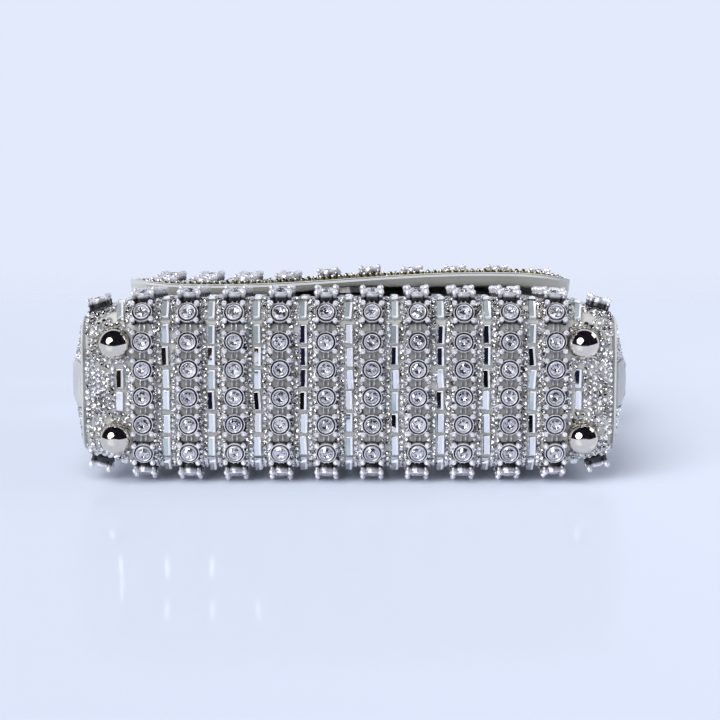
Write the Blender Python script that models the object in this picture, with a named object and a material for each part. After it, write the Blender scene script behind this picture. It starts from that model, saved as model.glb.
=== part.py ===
"""A structured flap handbag set with stones, with dome feet and a swinging top handle.

Metres, +Z up, the front towards -Y. The bag stands on its four feet at z = 0, and the middle of its
bounding box is over the origin. The girth of the bag is measured along the outer leather from the
middle of the base: it is negative up the front and positive up the back.
"""

import math

import bmesh
import bpy
from mathutils import Matrix, Vector

# Body
body_half_width = 0.102
body_height = 0.148
base_half_depth = 0.026
top_half_depth = 0.021
panel_bulge = 0.006
bulge_power = 8
base_roll_radius = 0.0098
gusset_puff = 0.006
gusset_puff_height = 0.030
gap = 0.0003

# Layers of the walls
leather_thickness = 0.0016
board_thickness = 0.0022
lining_thickness = 0.0008
piping_radius = 0.0012
piping_inset = 0.0005
band_width = 0.0175
band_thickness = 0.0014
band_top_margin = 0.004

# Feet, and their shanks and washers
foot_height = 0.0075
foot_radius = 0.0059
foot_flange_thickness = 0.0008
foot_dome_radius = 0.0056
foot_flat_radius = 0.0016
foot_shank_radius = 0.0014
foot_end_inset = 0.0127
foot_roll_inset = 0.0001
foot_back_shift = 0.0018
washer_radius = 0.0034
washer_thickness = 0.0007
running_clearance = 0.0003

# Claw-set cup chains
chain_end_inset = 0.02325
chain_count = 10
cup_pitch = 0.01065
cup_phase = -0.0013
chain_line_height = 0.002
cup_width = 0.0086
cup_foot_width = 0.0062
cup_height = 0.0052
cup_rim_height = 0.0036
cup_table_height = 0.0044
cup_table_width = 0.0034
link_width = 0.0026
link_height = 0.0009
chain_detailed_rows = 3
chain_rim_margin = 0.0265
corner_cup_inset = 0.0065
corner_cup_girth = 0.0352
corner_cup_seat = 0.0004

# Baguette columns, and fields of small stones
baguette_width = 0.0027
baguette_length = 0.0074
baguette_height = 0.0020
baguette_ridge_length = 0.0056
baguette_seat = 0.0004
baguette_pitch = 0.0086
baguette_phase = -0.0029
front_baguette_rows = 3
back_baguette_rows = 3
outer_baguette_clearance = 0.0028
field_height = 0.0010
field_seat = 0.0009
field_clearance = 0.0002
field_edge_margin = 0.0012
front_field_margin = 0.004
back_field_margin = 0.028

# Flap
flap_side_inset = 0.0095
flap_rim_clearance = 0.0005
flap_fold_radius = 0.005
flap_fold_inset = 0.001
flap_spread = math.radians(1.3)
flap_drop = 0.0835
flap_corner_radius = 0.016
flap_wave = 0.0025
flap_wave_quarter = 0.056
flap_wave_power = 1.5
flap_lining_thickness = 0.0009
flap_leather_thickness = 0.0018
flap_cup_edge_margin = 0.0074
flap_cup_rows = 7
edge_row_radius = 0.0011
edge_row_inset = 0.0016

# Closure
magnet_edge_margin = 0.0212
magnet_radius = 0.0088
flap_magnet_thickness = 0.0024
magnet_shank_radius = 0.002
magnet_face_clearance = 0.0006

# Handle
handle_pivot_below_rim = 0.0175
handle_roll_radius = 0.005
handle_rise = 0.098
handle_start_above_pivot = 0.012
handle_corner_power = 2.8
ferrule_radius = 0.0064
ferrule_length = 0.015
ferrule_wall = 0.0011
lug_width = 0.012
lug_thickness = 0.003
stud_shank_radius = 0.002
stud_head_radius = 0.0055
stud_head_thickness = 0.0022
stud_nut_radius = 0.0048
stud_nut_thickness = 0.0016
cut_overrun = 0.004

# Shares chosen by hand
station_shares = (-1, -0.96, -0.9, -0.8, -0.6, 0, 0.6, 0.8, 0.9, 0.96, 1)
band_shares = (-1, 0, 1)
gusset_width_shares = (-1, -0.8, -0.5, 0, 0.5, 0.8, 1)
gusset_height_shares = (0, 0.03, 0.08, 0.15, 0.25, 0.6, 1)
foot_dome_shares = ((1, 0.18), (0.93, 0.5), (0.72, 0.8))
stud_head_shares = ((1, 0.45), (0.7, 0.85))
end_field_shares = (0, 0.4, 0.75, 1)
gusset_field_width_shares = (0, 0.5, 1)
gusset_field_height_shares = (0, 0.07, 0.2, 0.6, 1)
flap_straight_shares = (1 / 3, 2 / 3, 1)
flap_corner_shares = (0.3, 0.6, 0.85, 1)
flap_drop_shares = (0, 0.35, 0.7, 1)
lining_corner_shares = (0, 0.5, 1)

foot_circle = 10
washer_circle = 8
hole_sides = 8
stud_circle = 12
roll_steps = 5
fold_steps = 4
handle_points = 19
lug_round_steps = 8
smooth_limit = math.radians(40)

base_z = foot_height
wall_foot_z = base_z + base_roll_radius
rim_z = base_z + body_height
wall_rise = rim_z - wall_foot_z
wall_lean = math.atan2(base_half_depth + panel_bulge - top_half_depth, wall_rise)
chain_spacing = 2 * (body_half_width - chain_end_inset) / (chain_count - 1)
corner_cup_x = body_half_width - corner_cup_inset
flap_half_width = body_half_width - flap_side_inset
board_offset = leather_thickness + gap
washer_offset = board_offset + board_thickness + gap
lining_offset = washer_offset + washer_thickness + gap
wall_thickness = lining_offset + lining_thickness
panel_half_width = body_half_width - max(piping_radius, leather_thickness) - gap
gusset_offset = piping_inset + piping_radius + gap
column_half_width = (chain_spacing - cup_width) / 2 - field_clearance

flap_under_z = rim_z + flap_rim_clearance
flap_leather_offset = flap_lining_thickness + gap
flap_thickness = flap_leather_offset + flap_leather_thickness
flap_top_run = 2 * top_half_depth - flap_fold_inset
flap_lean = wall_lean + flap_spread
flap_fold_turn = math.pi / 2 - flap_lean
flap_fold_end = flap_top_run + flap_fold_radius * flap_fold_turn
flap_length = flap_fold_end + flap_drop
flap_fold_end_z = flap_under_z - flap_fold_radius * (1 - math.sin(flap_lean))
flap_edge_z = flap_fold_end_z - flap_drop * math.cos(flap_lean)
magnet_drop = flap_drop - magnet_edge_margin
magnet_z = flap_fold_end_z - magnet_drop * math.cos(flap_lean)
hinge_point = Vector((0, top_half_depth, flap_under_z + flap_thickness / 2))
handle_pivot = Vector((0, 0, rim_z - handle_pivot_below_rim))
lug_x = body_half_width + gusset_puff + gap + band_thickness + gap
ferrule_x = lug_x + gap + ferrule_radius

leather_grey = (0.62, 0.60, 0.58, 1)
lining_grey = (0.24, 0.24, 0.25, 1)
polished_nickel = (0.82, 0.82, 0.84, 1)
clear_stone = (0.86, 0.88, 0.93, 1)
board_brown = (0.45, 0.38, 0.30, 1)
brass_stone = (0.45, 0.42, 0.28, 1)


def clear_scene():
    """Remove every object that the file opened with."""
    for item in list(bpy.data.objects):
        bpy.data.objects.remove(item, do_unlink=True)


def material(name, colour, roughness, metallic):
    """A Principled material with the piece's own colour."""
    made = bpy.data.materials.new(name)
    made.use_nodes = True
    shader = made.node_tree.nodes["Principled BSDF"]
    shader.inputs["Base Color"].default_value = colour
    shader.inputs["Roughness"].default_value = roughness
    shader.inputs["Metallic"].default_value = metallic
    made.diffuse_color = colour
    return made


def empty_at(name, point, parent=None):
    """An empty that carries the pieces that turn about a point."""
    carrier = bpy.data.objects.new(name, None)
    carrier.location = point
    carrier.parent = parent
    bpy.context.collection.objects.link(carrier)
    return carrier


def add_piece(name, shape, dress, carrier, pivot=None):
    """Turn a bmesh in bag coordinates into an object under its carrier."""
    bmesh.ops.recalc_face_normals(shape, faces=shape.faces)
    if shape.calc_volume(signed=True) < 0:
        bmesh.ops.reverse_faces(shape, faces=shape.faces)
    if pivot is not None:
        bmesh.ops.translate(shape, verts=shape.verts, vec=-pivot)
    mesh = bpy.data.meshes.new(name)
    shape.to_mesh(mesh)
    shape.free()
    mesh.materials.append(dress)
    piece = bpy.data.objects.new(name, mesh)
    piece.parent = carrier
    bpy.context.collection.objects.link(piece)
    return piece


def smooth(piece):
    """Shade a round piece smooth and keep its sharp corners."""
    piece.data.shade_smooth()
    piece.data.set_sharp_from_angle(angle=smooth_limit)


def slab(outer, inner, shape=None):
    """A closed sheet between two grids of points with the same rows and columns."""
    shape = shape or bmesh.new()
    rows, columns = len(outer), len(outer[0])
    top = [[shape.verts.new(point) for point in row] for row in outer]
    under = [[shape.verts.new(point) for point in row] for row in inner]
    for i in range(rows - 1):
        for j in range(columns - 1):
            for grid in (top, under):
                shape.faces.new((grid[i][j], grid[i][j + 1], grid[i + 1][j + 1], grid[i + 1][j]))
    rim = [(0, j) for j in range(columns - 1)]
    rim += [(i, columns - 1) for i in range(rows - 1)]
    rim += [(rows - 1, j) for j in range(columns - 1, 0, -1)]
    rim += [(i, 0) for i in range(rows - 1, 0, -1)]
    for (i, j), (k, m) in zip(rim, rim[1:] + rim[:1]):
        shape.faces.new((top[i][j], top[k][m], under[k][m], under[i][j]))
    return shape


def turned(profile, sides, place):
    """Spin (radius, height) points round the local Z axis, closed on the axis at both ends."""
    shape = bmesh.new()
    rings = []
    for radius, height in profile:
        if radius == 0:
            rings.append([shape.verts.new((0, 0, height))])
            continue
        turn = [2 * math.pi * k / sides for k in range(sides)]
        rings.append([shape.verts.new((radius * math.cos(a), radius * math.sin(a), height)) for a in turn])
    for low, high in zip(rings, rings[1:]):
        for k in range(sides):
            n = k + 1
            corners = [low[k % len(low)], low[n % len(low)], high[n % len(high)], high[k % len(high)]]
            shape.faces.new(list(dict.fromkeys(corners)))
    for ring in (rings[0], rings[-1]):
        if len(ring) > 1:
            shape.faces.new(ring)
    bmesh.ops.transform(shape, matrix=place, verts=shape.verts)
    return shape


def drill(piece, point, along, radius, depth, carrier, pivot=None):
    """Cut a round hole through a piece, centred on a point."""
    shape = bmesh.new()
    turn = Vector(along).to_track_quat("Z", "Y").to_matrix().to_4x4()
    place = Matrix.Translation(Vector(point)) @ turn
    bmesh.ops.create_cone(
        shape, cap_ends=True, segments=hole_sides, radius1=radius, radius2=radius, depth=depth, matrix=place
    )
    cutter = add_piece(piece.name + "_cutter", shape, piece.data.materials[0], carrier, pivot)
    cutter.hide_render = True
    cutter.display_type = "WIRE"
    hole = piece.modifiers.new("hole", "BOOLEAN")
    hole.operation = "DIFFERENCE"
    hole.object = cutter


def tube(name, points, radius, resolution, dress, carrier, pivot=None):
    """A round cord through points in bag coordinates."""
    curve = bpy.data.curves.new(name, "CURVE")
    curve.dimensions = "3D"
    curve.bevel_depth = radius
    curve.bevel_resolution = resolution
    curve.use_fill_caps = True
    run = curve.splines.new("POLY")
    run.points.add(len(points) - 1)
    origin = pivot or Vector((0, 0, 0))
    for slot, point in zip(run.points, points):
        slot.co = (*(Vector(point) - origin), 1)
    curve.materials.append(dress)
    piece = bpy.data.objects.new(name, curve)
    piece.parent = carrier
    bpy.context.collection.objects.link(piece)
    return piece


def half_depth(x, z):
    """Half the bag's depth, fullest low down and in the middle of the panels."""
    fullness = 1 - (abs(x) / body_half_width) ** bulge_power
    low = base_half_depth + panel_bulge * fullness
    rise = (z - wall_foot_z) / wall_rise
    return low + (top_half_depth - low) * min(max(rise, 0), 1)


def wall_point(x, z, offset, side):
    """A point on the front (side -1) or back (side 1) wall, offset inwards."""
    return (x, side * (half_depth(x, z) - offset), z)


def flat_half(x):
    """Half the flat of the base at a place across it, from its middle to where the roll starts."""
    return half_depth(x, wall_foot_z) - base_roll_radius


def roll_point(x, angle, offset, side):
    """A point on the roll from the base (angle 0) up to the wall (a quarter turn)."""
    radius = base_roll_radius - offset
    return (x, side * (flat_half(x) + radius * math.sin(angle)), wall_foot_z - radius * math.cos(angle))


def seam_girth(x):
    """The girth at which the roll ends and the wall starts."""
    return flat_half(x) + base_roll_radius * math.pi / 2


def girth_frame(x, girth, offset):
    """Where a stone sits on the body: its axes run across the bag, along the girth and outwards."""
    side = -1 if girth < 0 else 1
    run = abs(girth)
    flat = flat_half(x)
    seam = seam_girth(x)
    lean = math.atan2(half_depth(x, wall_foot_z) - top_half_depth, wall_rise)
    if run < flat:
        angle = 0
        point = Vector((x, side * run, base_z))
    elif run < seam:
        angle = (run - flat) / base_roll_radius
        point = Vector(roll_point(x, angle, 0, side))
    else:
        angle = math.pi / 2 + lean
        z = wall_foot_z + (run - seam) * math.cos(lean)
        point = Vector(wall_point(x, z, 0, side))
    slope = panel_bulge * bulge_power * abs(x) ** (bulge_power - 1) / body_half_width**bulge_power
    slope *= min((rim_z - point.z) / wall_rise, 1)
    across = Vector((-1, side * math.copysign(slope, x) * math.sin(angle), 0)).normalized()
    outward = Vector((0, side * math.sin(angle), -math.cos(angle)))
    outward = (outward - across * outward.dot(across)).normalized()
    along = outward.cross(across)
    turn = Matrix((across, along, outward)).transposed().to_4x4()
    return Matrix.Translation(point + outward * offset) @ turn


def flap_wave_at(x, run):
    """How far the flap waves, out on the right and in on the left, and the wave's slope across."""
    down = max(run - flap_fold_end, 0) / flap_drop
    height = flap_wave * down**flap_wave_power
    turn = math.pi / 2 / flap_wave_quarter
    return height * math.sin(turn * x), height * turn * math.cos(turn * x)


def flap_frame(x, run, offset):
    """Where something sits on the flap, a run from the hinge, offset outwards from its underside."""
    turned_by = min(max(run - flap_top_run, 0) / flap_fold_radius, flap_fold_turn)
    outward = Vector((0, -math.sin(turned_by), math.cos(turned_by)))
    along = Vector((0, -math.cos(turned_by), -math.sin(turned_by)))
    centre = Vector((x, top_half_depth - flap_top_run, flap_under_z - flap_fold_radius))
    if run <= flap_top_run:
        point = Vector((x, top_half_depth - run, flap_under_z))
    else:
        point = centre + outward * flap_fold_radius
        point += along * max(run - flap_fold_end, 0)
    wave, slope = flap_wave_at(x, run)
    point.y -= wave
    across = along.cross(outward)
    across = Vector((across.x, -slope * across.x, 0)).normalized()
    outward = (outward - across * outward.dot(across)).normalized()
    turn = Matrix((across, outward.cross(across), outward)).transposed().to_4x4()
    return Matrix.Translation(point + outward * offset) @ turn


def flap_reach(x):
    """The flap's length at a place across it, shorter round its corners."""
    past = abs(x) - (flap_half_width - flap_corner_radius)
    if past <= 0:
        return flap_length
    return flap_length - flap_corner_radius + math.sqrt(max(flap_corner_radius**2 - past**2, 0))


def setting_ring(shape, place, half_x, half_y, height):
    """Four corners round a setting, from the near right one through the near left one."""
    corners = ((1, -1), (-1, -1), (-1, 1), (1, 1))
    return [shape.verts.new(place @ Vector((a * half_x, b * half_y, height))) for a, b in corners]


def setting_shape(shape, place, near_neck, far_neck, detailed):
    """One setting: a flared square cup whose corners rise as claws round a stone.

    A neck is the four corners of the link to the next setting, or None where the chain ends.
    """
    foot = setting_ring(shape, place, cup_foot_width / 2, cup_foot_width / 2, 0)
    claws = setting_ring(shape, place, cup_width / 2, cup_width / 2, cup_height)
    half = cup_width / 2
    mids = ((0, -1), (-1, 0), (0, 1), (1, 0))
    necks = (near_neck, None, far_neck, None)
    if detailed:
        rims = [shape.verts.new(place @ Vector((a * half, b * half, cup_rim_height))) for a, b in mids]
        stone = setting_ring(shape, place, cup_table_width / 2, cup_table_width / 2, cup_table_height)
        shape.faces.new(stone)
    else:
        centre = shape.verts.new(place @ Vector((0, 0, cup_rim_height)))
    shape.faces.new(foot)
    for k in range(len(mids)):
        n = (k + 1) % len(mids)
        low_a, low_b, high_a, high_b = foot[k], foot[n], claws[k], claws[n]
        if necks[k]:
            right_low, left_low, left_high, right_high = necks[k]
            if k == 2:
                right_low, left_low, left_high, right_high = left_low, right_low, right_high, left_high
            shape.faces.new((low_a, low_b, left_low, right_low))
            shape.faces.new((low_b, high_b, left_high, left_low))
            shape.faces.new((high_a, low_a, right_low, right_high))
            low_a, low_b = right_high, left_high
        if detailed:
            shape.faces.new((low_a, low_b, rims[k]))
            shape.faces.new((low_b, high_b, rims[k]))
            shape.faces.new((high_a, low_a, rims[k]))
            shape.faces.new((high_a, rims[k], stone[k]))
            shape.faces.new((rims[k], stone[n], stone[k]))
            shape.faces.new((rims[k], high_b, stone[n]))
        else:
            shape.faces.new((low_a, low_b, high_b, high_a))
            shape.faces.new((high_a, high_b, centre))


def link_neck(shape, place):
    """The narrow middle of the link between two settings."""
    half = link_width / 2
    places = ((half, 0), (-half, 0), (-half, link_height), (half, link_height))
    return [shape.verts.new(place @ Vector((x, 0, z))) for x, z in places]


def chain_shape(frame_at, rows, first, step, detailed_rows):
    """A run of settings joined by their links, as one length of cup chain.

    Args:
        frame_at: gives the frame at a run along the surface.
        rows: how many settings the chain has.
        first: the run of the first setting.
        step: the pitch, negative where the rows run back.
        detailed_rows: the row numbers that show from outside.
    """
    shape = bmesh.new()
    necks = [None]
    for row in range(rows - 1):
        necks.append(link_neck(shape, frame_at(first + row * step + step / 2)))
    necks.append(None)
    for row in range(rows):
        ends = necks[row], necks[row + 1]
        if step < 0:
            ends = ends[::-1]
        setting_shape(shape, frame_at(first + row * step), *ends, row in detailed_rows)
    return shape


def baguette_shape(shape, place):
    """One baguette stone: a rectangle rising to a ridge."""
    half_x, half_y, ridge = baguette_width / 2, baguette_length / 2, baguette_ridge_length / 2
    corners = ((1, 1), (-1, 1), (-1, -1), (1, -1))
    foot = [shape.verts.new(place @ Vector((a * half_x, b * half_y, 0))) for a, b in corners]
    far = shape.verts.new(place @ Vector((0, ridge, baguette_height)))
    near = shape.verts.new(place @ Vector((0, -ridge, baguette_height)))
    for face in (foot, (foot[0], foot[1], far), (foot[2], foot[3], near)):
        shape.faces.new(face)
    shape.faces.new((foot[1], foot[2], near, far))
    shape.faces.new((foot[3], foot[0], far, near))


def stations(half_width):
    """Places across the bag, closer together where the panels curve to the gussets."""
    return [half_width * share for share in station_shares]


def make_base_panel(dress, root):
    """The leather of the base with the rolls that lead up to both walls."""
    rows = []
    for offset in (0, leather_thickness):
        grid = []
        for x in stations(panel_half_width):
            angles = [math.pi / 2 * i / roll_steps for i in range(roll_steps + 1)]
            front = [roll_point(x, angle, offset, -1) for angle in reversed(angles)]
            back = [roll_point(x, angle, offset, 1) for angle in angles]
            grid.append(front + back)
        rows.append(grid)
    panel = add_piece("base_panel", slab(*rows), dress, root)
    for x, y in foot_places():
        drill_for_foot(panel, x, y, root)
    smooth(panel)
    return panel


def make_wall_panel(name, side, dress, root):
    """The leather of the front or the back, turned over the rim above the board and the lining."""
    outer, inner = [], []
    lip_z = rim_z - leather_thickness
    for x in stations(panel_half_width):
        outer.append([
            wall_point(x, wall_foot_z + gap, 0, side),
            wall_point(x, rim_z, 0, side),
            wall_point(x, rim_z, wall_thickness, side),
        ])
        inner.append([
            wall_point(x, wall_foot_z + gap, leather_thickness, side),
            wall_point(x, lip_z, leather_thickness, side),
            wall_point(x, lip_z, wall_thickness, side),
        ])
    return add_piece(name, slab(outer, inner), dress, root)


def make_wall_board(name, side, dress, root):
    """The stiffener behind the front or the back leather."""
    top = rim_z - leather_thickness - gap
    grids = []
    for offset in (board_offset, board_offset + board_thickness):
        grids.append([
            [wall_point(x, wall_foot_z + gap, offset, side), wall_point(x, top, offset, side)]
            for x in stations(panel_half_width)
        ])
    return add_piece(name, slab(*grids), dress, root)


def make_base_board(dress, root):
    """The flat stiffener of the base, as wide as the rolls leave room for."""
    first_facet = math.pi / 4 / roll_steps
    reach = (board_offset - leather_thickness) / math.tan(first_facet) - gap
    grids = []
    for offset in (board_offset, board_offset + board_thickness):
        grid = []
        for x in stations(panel_half_width):
            edge = flat_half(x) + reach
            grid.append([(x, -edge, base_z + offset), (x, edge, base_z + offset)])
        grids.append(grid)
    board = add_piece("base_board", slab(*grids), dress, root)
    for x, y in foot_places():
        drill_for_foot(board, x, y, root)


def make_lining(dress, root):
    """The fabric box that lines the bag, open at the top."""
    shape = bmesh.new()
    top = rim_z - leather_thickness - gap
    skins = []
    for offset in (lining_offset, wall_thickness):
        end = panel_half_width - (offset - lining_offset)
        grid = []
        for x in stations(end):
            angles = [math.pi / 2 * share for share in lining_corner_shares]
            front = [wall_point(x, top, offset, -1)]
            front += [roll_point(x, angle, offset, -1) for angle in reversed(angles)]
            back = [roll_point(x, angle, offset, 1) for angle in angles]
            back.append(wall_point(x, top, offset, 1))
            grid.append([shape.verts.new(point) for point in front + back])
        for near, far in zip(grid, grid[1:]):
            for j in range(len(near) - 1):
                shape.faces.new((near[j], near[j + 1], far[j + 1], far[j]))
        shape.faces.new(grid[0])
        shape.faces.new(grid[-1])
        edge = [row[0] for row in grid] + [row[-1] for row in reversed(grid)]
        skins.append(edge)
    outer, inner = skins
    for k in range(len(outer)):
        n = (k + 1) % len(outer)
        shape.faces.new((outer[k], outer[n], inner[n], inner[k]))
    add_piece("lining", shape, dress, root)


def gusset_half_width(z):
    """Half the gusset's width at a height, inside the piping."""
    if z >= wall_foot_z:
        return half_depth(body_half_width, z) - gusset_offset
    radius = base_roll_radius - gusset_offset
    return flat_half(body_half_width) + math.sqrt(max(radius**2 - (wall_foot_z - z) ** 2, 0))


def gusset_x(y, z, outward):
    """How far out the puffed gusset stands at a place."""
    low = base_z + gusset_offset
    rise = min((z - low) / gusset_puff_height, 1)
    share = y / gusset_half_width(z)
    return body_half_width + gusset_puff * (1 - share**2) * (1 - (1 - rise) ** 2) + outward


def make_gusset(name, side, dress, stone, root):
    """A side wall, puffed outwards between its seams, with its fields of small stones."""
    low = base_z + gusset_offset
    grids = []
    for outward in (0, -leather_thickness):
        grid = []
        for rise in gusset_height_shares:
            z = low + (rim_z - low) * rise
            ys = [gusset_half_width(z) * share for share in gusset_width_shares]
            grid.append([(side * gusset_x(y, z, outward), y, z) for y in ys])
        grids.append(grid)
    shape = slab(*grids)
    bmesh.ops.triangulate(shape, faces=shape.faces)
    gusset = add_piece(name, shape, dress, root)
    fuse_stones(gusset, gusset_stones(side), stone, root)
    drill_for_stud(gusset, side, root)
    smooth(gusset)


def make_band(name, side, dress, root):
    """The plain leather band that runs up the middle of the gusset to the handle's stud."""
    low = base_z + gusset_offset
    grids = []
    for outward in (gap, gap + band_thickness):
        grid = []
        for rise in gusset_height_shares:
            z = low + (rim_z - band_top_margin - low) * rise
            ys = [band_width / 2 * share for share in band_shares]
            grid.append([(side * gusset_x(y, z, outward), y, z) for y in ys])
        grids.append(grid)
    band = add_piece(name, slab(*grids), dress, root)
    drill_for_stud(band, side, root)
    smooth(band)


def drill_for_stud(piece, side, root):
    """The handle stud's hole through a gusset or its band."""
    point = (side * body_half_width, 0, handle_pivot.z)
    depth = 2 * (gusset_puff + lug_thickness + cut_overrun)
    drill(piece, point, (1, 0, 0), stud_shank_radius + running_clearance, depth, root)


def make_piping(name, side, dress, root):
    """The cord sewn in where a gusset meets the base and the walls."""
    x = side * body_half_width
    angles = [math.pi / 2 * i / roll_steps for i in range(roll_steps + 1)]
    points = [wall_point(x, rim_z, piping_inset, -1)]
    points += [roll_point(x, angle, piping_inset, -1) for angle in reversed(angles)]
    points += [roll_point(x, angle, piping_inset, 1) for angle in angles]
    points += [wall_point(x, rim_z, piping_inset, 1)]
    tube(name, points, piping_radius, 1, dress, root)


def foot_places():
    """Where the four feet stand: the back pair just inside its roll, the front pair further in."""
    x = body_half_width - foot_end_inset
    back = flat_half(x) - foot_roll_inset
    front = 2 * foot_back_shift - back
    return [(i * x, y) for i in (-1, 1) for y in (front, back)]


def drill_for_foot(piece, x, y, root):
    """The hole for a foot's shank."""
    radius = foot_shank_radius + running_clearance
    drill(piece, (x, y, base_z), (0, 0, 1), radius, base_roll_radius, root)


def make_foot(name, x, y, dress, root):
    """A domed foot on a flange, with the shank that goes up through the base board."""
    dome = foot_height - gap - foot_flange_thickness
    flange_top = foot_height - gap
    shank_top = base_z + washer_offset + washer_thickness
    profile = [(foot_flat_radius, 0)]
    rows = [(foot_dome_radius * wide, dome * (1 - high)) for wide, high in foot_dome_shares]
    profile += [(radius, height) for radius, height in reversed(rows)]
    profile += [(foot_dome_radius, dome), (foot_radius, dome), (foot_radius, flange_top)]
    profile += [(foot_shank_radius, flange_top), (foot_shank_radius, shank_top)]
    foot = add_piece(name, turned(profile, foot_circle, Matrix.Translation((x, y, 0))), dress, root)
    smooth(foot)


def make_foot_washer(name, x, y, dress, root):
    """The washer that holds a foot's shank inside, on top of the base board."""
    shape = bmesh.new()
    low = base_z + washer_offset
    high = low + washer_thickness
    hole = foot_shank_radius + running_clearance / 2
    rings = []
    for radius, z in ((hole, low), (washer_radius, low), (washer_radius, high), (hole, high)):
        turn = [2 * math.pi * k / washer_circle for k in range(washer_circle)]
        circle = [(x + radius * math.cos(a), y + radius * math.sin(a), z) for a in turn]
        rings.append([shape.verts.new(point) for point in circle])
    for near, far in zip(rings, rings[1:] + rings[:1]):
        for k in range(washer_circle):
            n = (k + 1) % washer_circle
            shape.faces.new((near[k], near[n], far[n], far[k]))
    add_piece(name, shape, dress, root)


def chain_places():
    """Where the cup chains run across the bag."""
    return [(k - (chain_count - 1) / 2) * chain_spacing for k in range(chain_count)]


def baguette_places():
    """Where the baguette columns run, between the chains and one outside each end."""
    return [(k - chain_count / 2) * chain_spacing for k in range(chain_count + 1)]


def chain_frame(x, run):
    """Where a length along a chain lies: on a roll the chain bends about a line above the leather."""
    flat = flat_half(x)
    bend = base_roll_radius + chain_line_height
    on_roll = min(max(abs(run) - flat, 0), bend * math.pi / 2)
    beyond = max(abs(run) - flat - on_roll, 0)
    girth = min(abs(run), flat) + on_roll * base_roll_radius / bend + beyond
    return girth_frame(x, math.copysign(girth, run), gap)


def make_chains(dress, root):
    """The claw-set cup chains, each from below the flap over the base and up the back."""
    bend = base_roll_radius + chain_line_height
    seam = flat_half(0) + bend * math.pi / 2
    front_reach = seam + flap_edge_z - wall_foot_z - cup_width / 2
    back_reach = seam + rim_z - wall_foot_z - chain_rim_margin - cup_width / 2
    rows_front = int((front_reach + cup_phase) / cup_pitch + 1 / 2)
    rows_back = int((back_reach - cup_phase) / cup_pitch + 1 / 2)
    first = cup_phase + cup_pitch / 2 - rows_front * cup_pitch
    rows = rows_front + rows_back
    shown = range(rows_front - chain_detailed_rows, rows_front + chain_detailed_rows)
    for number, x in enumerate(chain_places(), start=1):
        chain = chain_shape(lambda run: chain_frame(x, run), rows, first, cup_pitch, shown)
        add_piece(f"cup_chain_{number}", chain, dress, root)


def make_corner_cups(dress, root):
    """The single cups at the lower corners of the front and back."""
    words = ("left_front", "left_back", "right_front", "right_back")
    places = [(i * corner_cup_x, j * corner_cup_girth) for i in (-1, 1) for j in (-1, 1)]
    for word, (x, girth) in zip(words, places):
        shape = bmesh.new()
        setting_shape(shape, girth_frame(x, girth, corner_cup_seat), None, None, True)
        add_piece(f"corner_cup_{word}", shape, dress, root)


def clear_of_feet(x, girth):
    """Whether a baguette at a place on the base keeps clear of the four feet."""
    reach = foot_radius + outer_baguette_clearance
    return all(abs(x - foot_x) > reach or abs(girth - foot_y) > reach for foot_x, foot_y in foot_places())


def fuse_stones(panel, shape, dress, root):
    """Set stones into a panel's leather with a union."""
    stones = add_piece(panel.name + "_stones", shape, dress, root)
    stones.hide_render = True
    stones.display_type = "WIRE"
    union = panel.modifiers.new("stones", "BOOLEAN")
    union.operation = "UNION"
    union.object = stones
    union.material_mode = "TRANSFER"


def base_stones():
    """The baguettes of the base and its rolls, stone by stone, as they are seen from below."""
    shape = bmesh.new()
    for x in baguette_places():
        for row in range(-front_baguette_rows, back_baguette_rows + 1):
            girth = baguette_phase + row * baguette_pitch
            if clear_of_feet(x, girth):
                baguette_shape(shape, girth_frame(x, girth, -baguette_seat))
    return shape


def wall_stones(side, rise):
    """The stone columns of a wall: raised strips of small stones with the baguettes as a ridge."""
    shape = bmesh.new()
    half, ridge = column_half_width, baguette_width / 2
    profile = [(-half, -field_seat), (-half, field_height), (-ridge, field_height), (0, baguette_height)]
    profile += [(-across, height) for across, height in reversed(profile[:-1])]
    low = corner_cup_girth + cup_width / 2 + field_edge_margin
    for x in baguette_places():
        places = [girth_frame(x, side * girth, 0) for girth in (low, seam_girth(x) + rise)]
        rings = [[shape.verts.new(place @ Vector((a, 0, h))) for a, h in profile] for place in places]
        for ring in rings:
            shape.faces.new(ring)
        for k in range(len(profile)):
            n = (k + 1) % len(profile)
            shape.faces.new((rings[0][k], rings[0][n], rings[1][n], rings[1][k]))
    for end in (-1, 1):
        inner = baguette_places()[-1] + column_half_width + field_clearance
        outer = panel_half_width - field_edge_margin
        xs = [end * (inner + (outer - inner) * share) for share in end_field_shares]
        grids = []
        for height in (field_height, -field_seat):
            grid = []
            for x in xs:
                ends = [girth_frame(x, side * girth, height) for girth in (low, seam_girth(x) + rise)]
                grid.append([place.translation for place in ends])
            grids.append(grid)
        slab(*grids, shape)
    bmesh.ops.triangulate(shape, faces=shape.faces)
    return shape


def gusset_stones(side):
    """The fields of small stones on a gusset, in front of its band and behind it."""
    shape = bmesh.new()
    low = base_z + gusset_offset + field_edge_margin
    inner = band_width / 2 + field_edge_margin
    for end in (-1, 1):
        grids = []
        for height in (field_height, -field_seat):
            grid = []
            for rise in gusset_field_height_shares:
                z = low + (rim_z - band_top_margin - low) * rise
                outer = gusset_half_width(z) - field_edge_margin
                ys = [end * (inner + (outer - inner) * share) for share in gusset_field_width_shares]
                grid.append([(side * gusset_x(y, z, height), y, z) for y in ys])
            grids.append(grid)
        slab(*grids, shape)
    bmesh.ops.triangulate(shape, faces=shape.faces)
    return shape


def flap_stations():
    """Places across the flap, with more of them round its corners."""
    straight = flap_half_width - flap_corner_radius
    corner = [straight + flap_corner_radius * share for share in flap_corner_shares]
    right = [straight * share for share in flap_straight_shares] + corner
    return [-x for x in reversed(right)] + [0] + right


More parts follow.
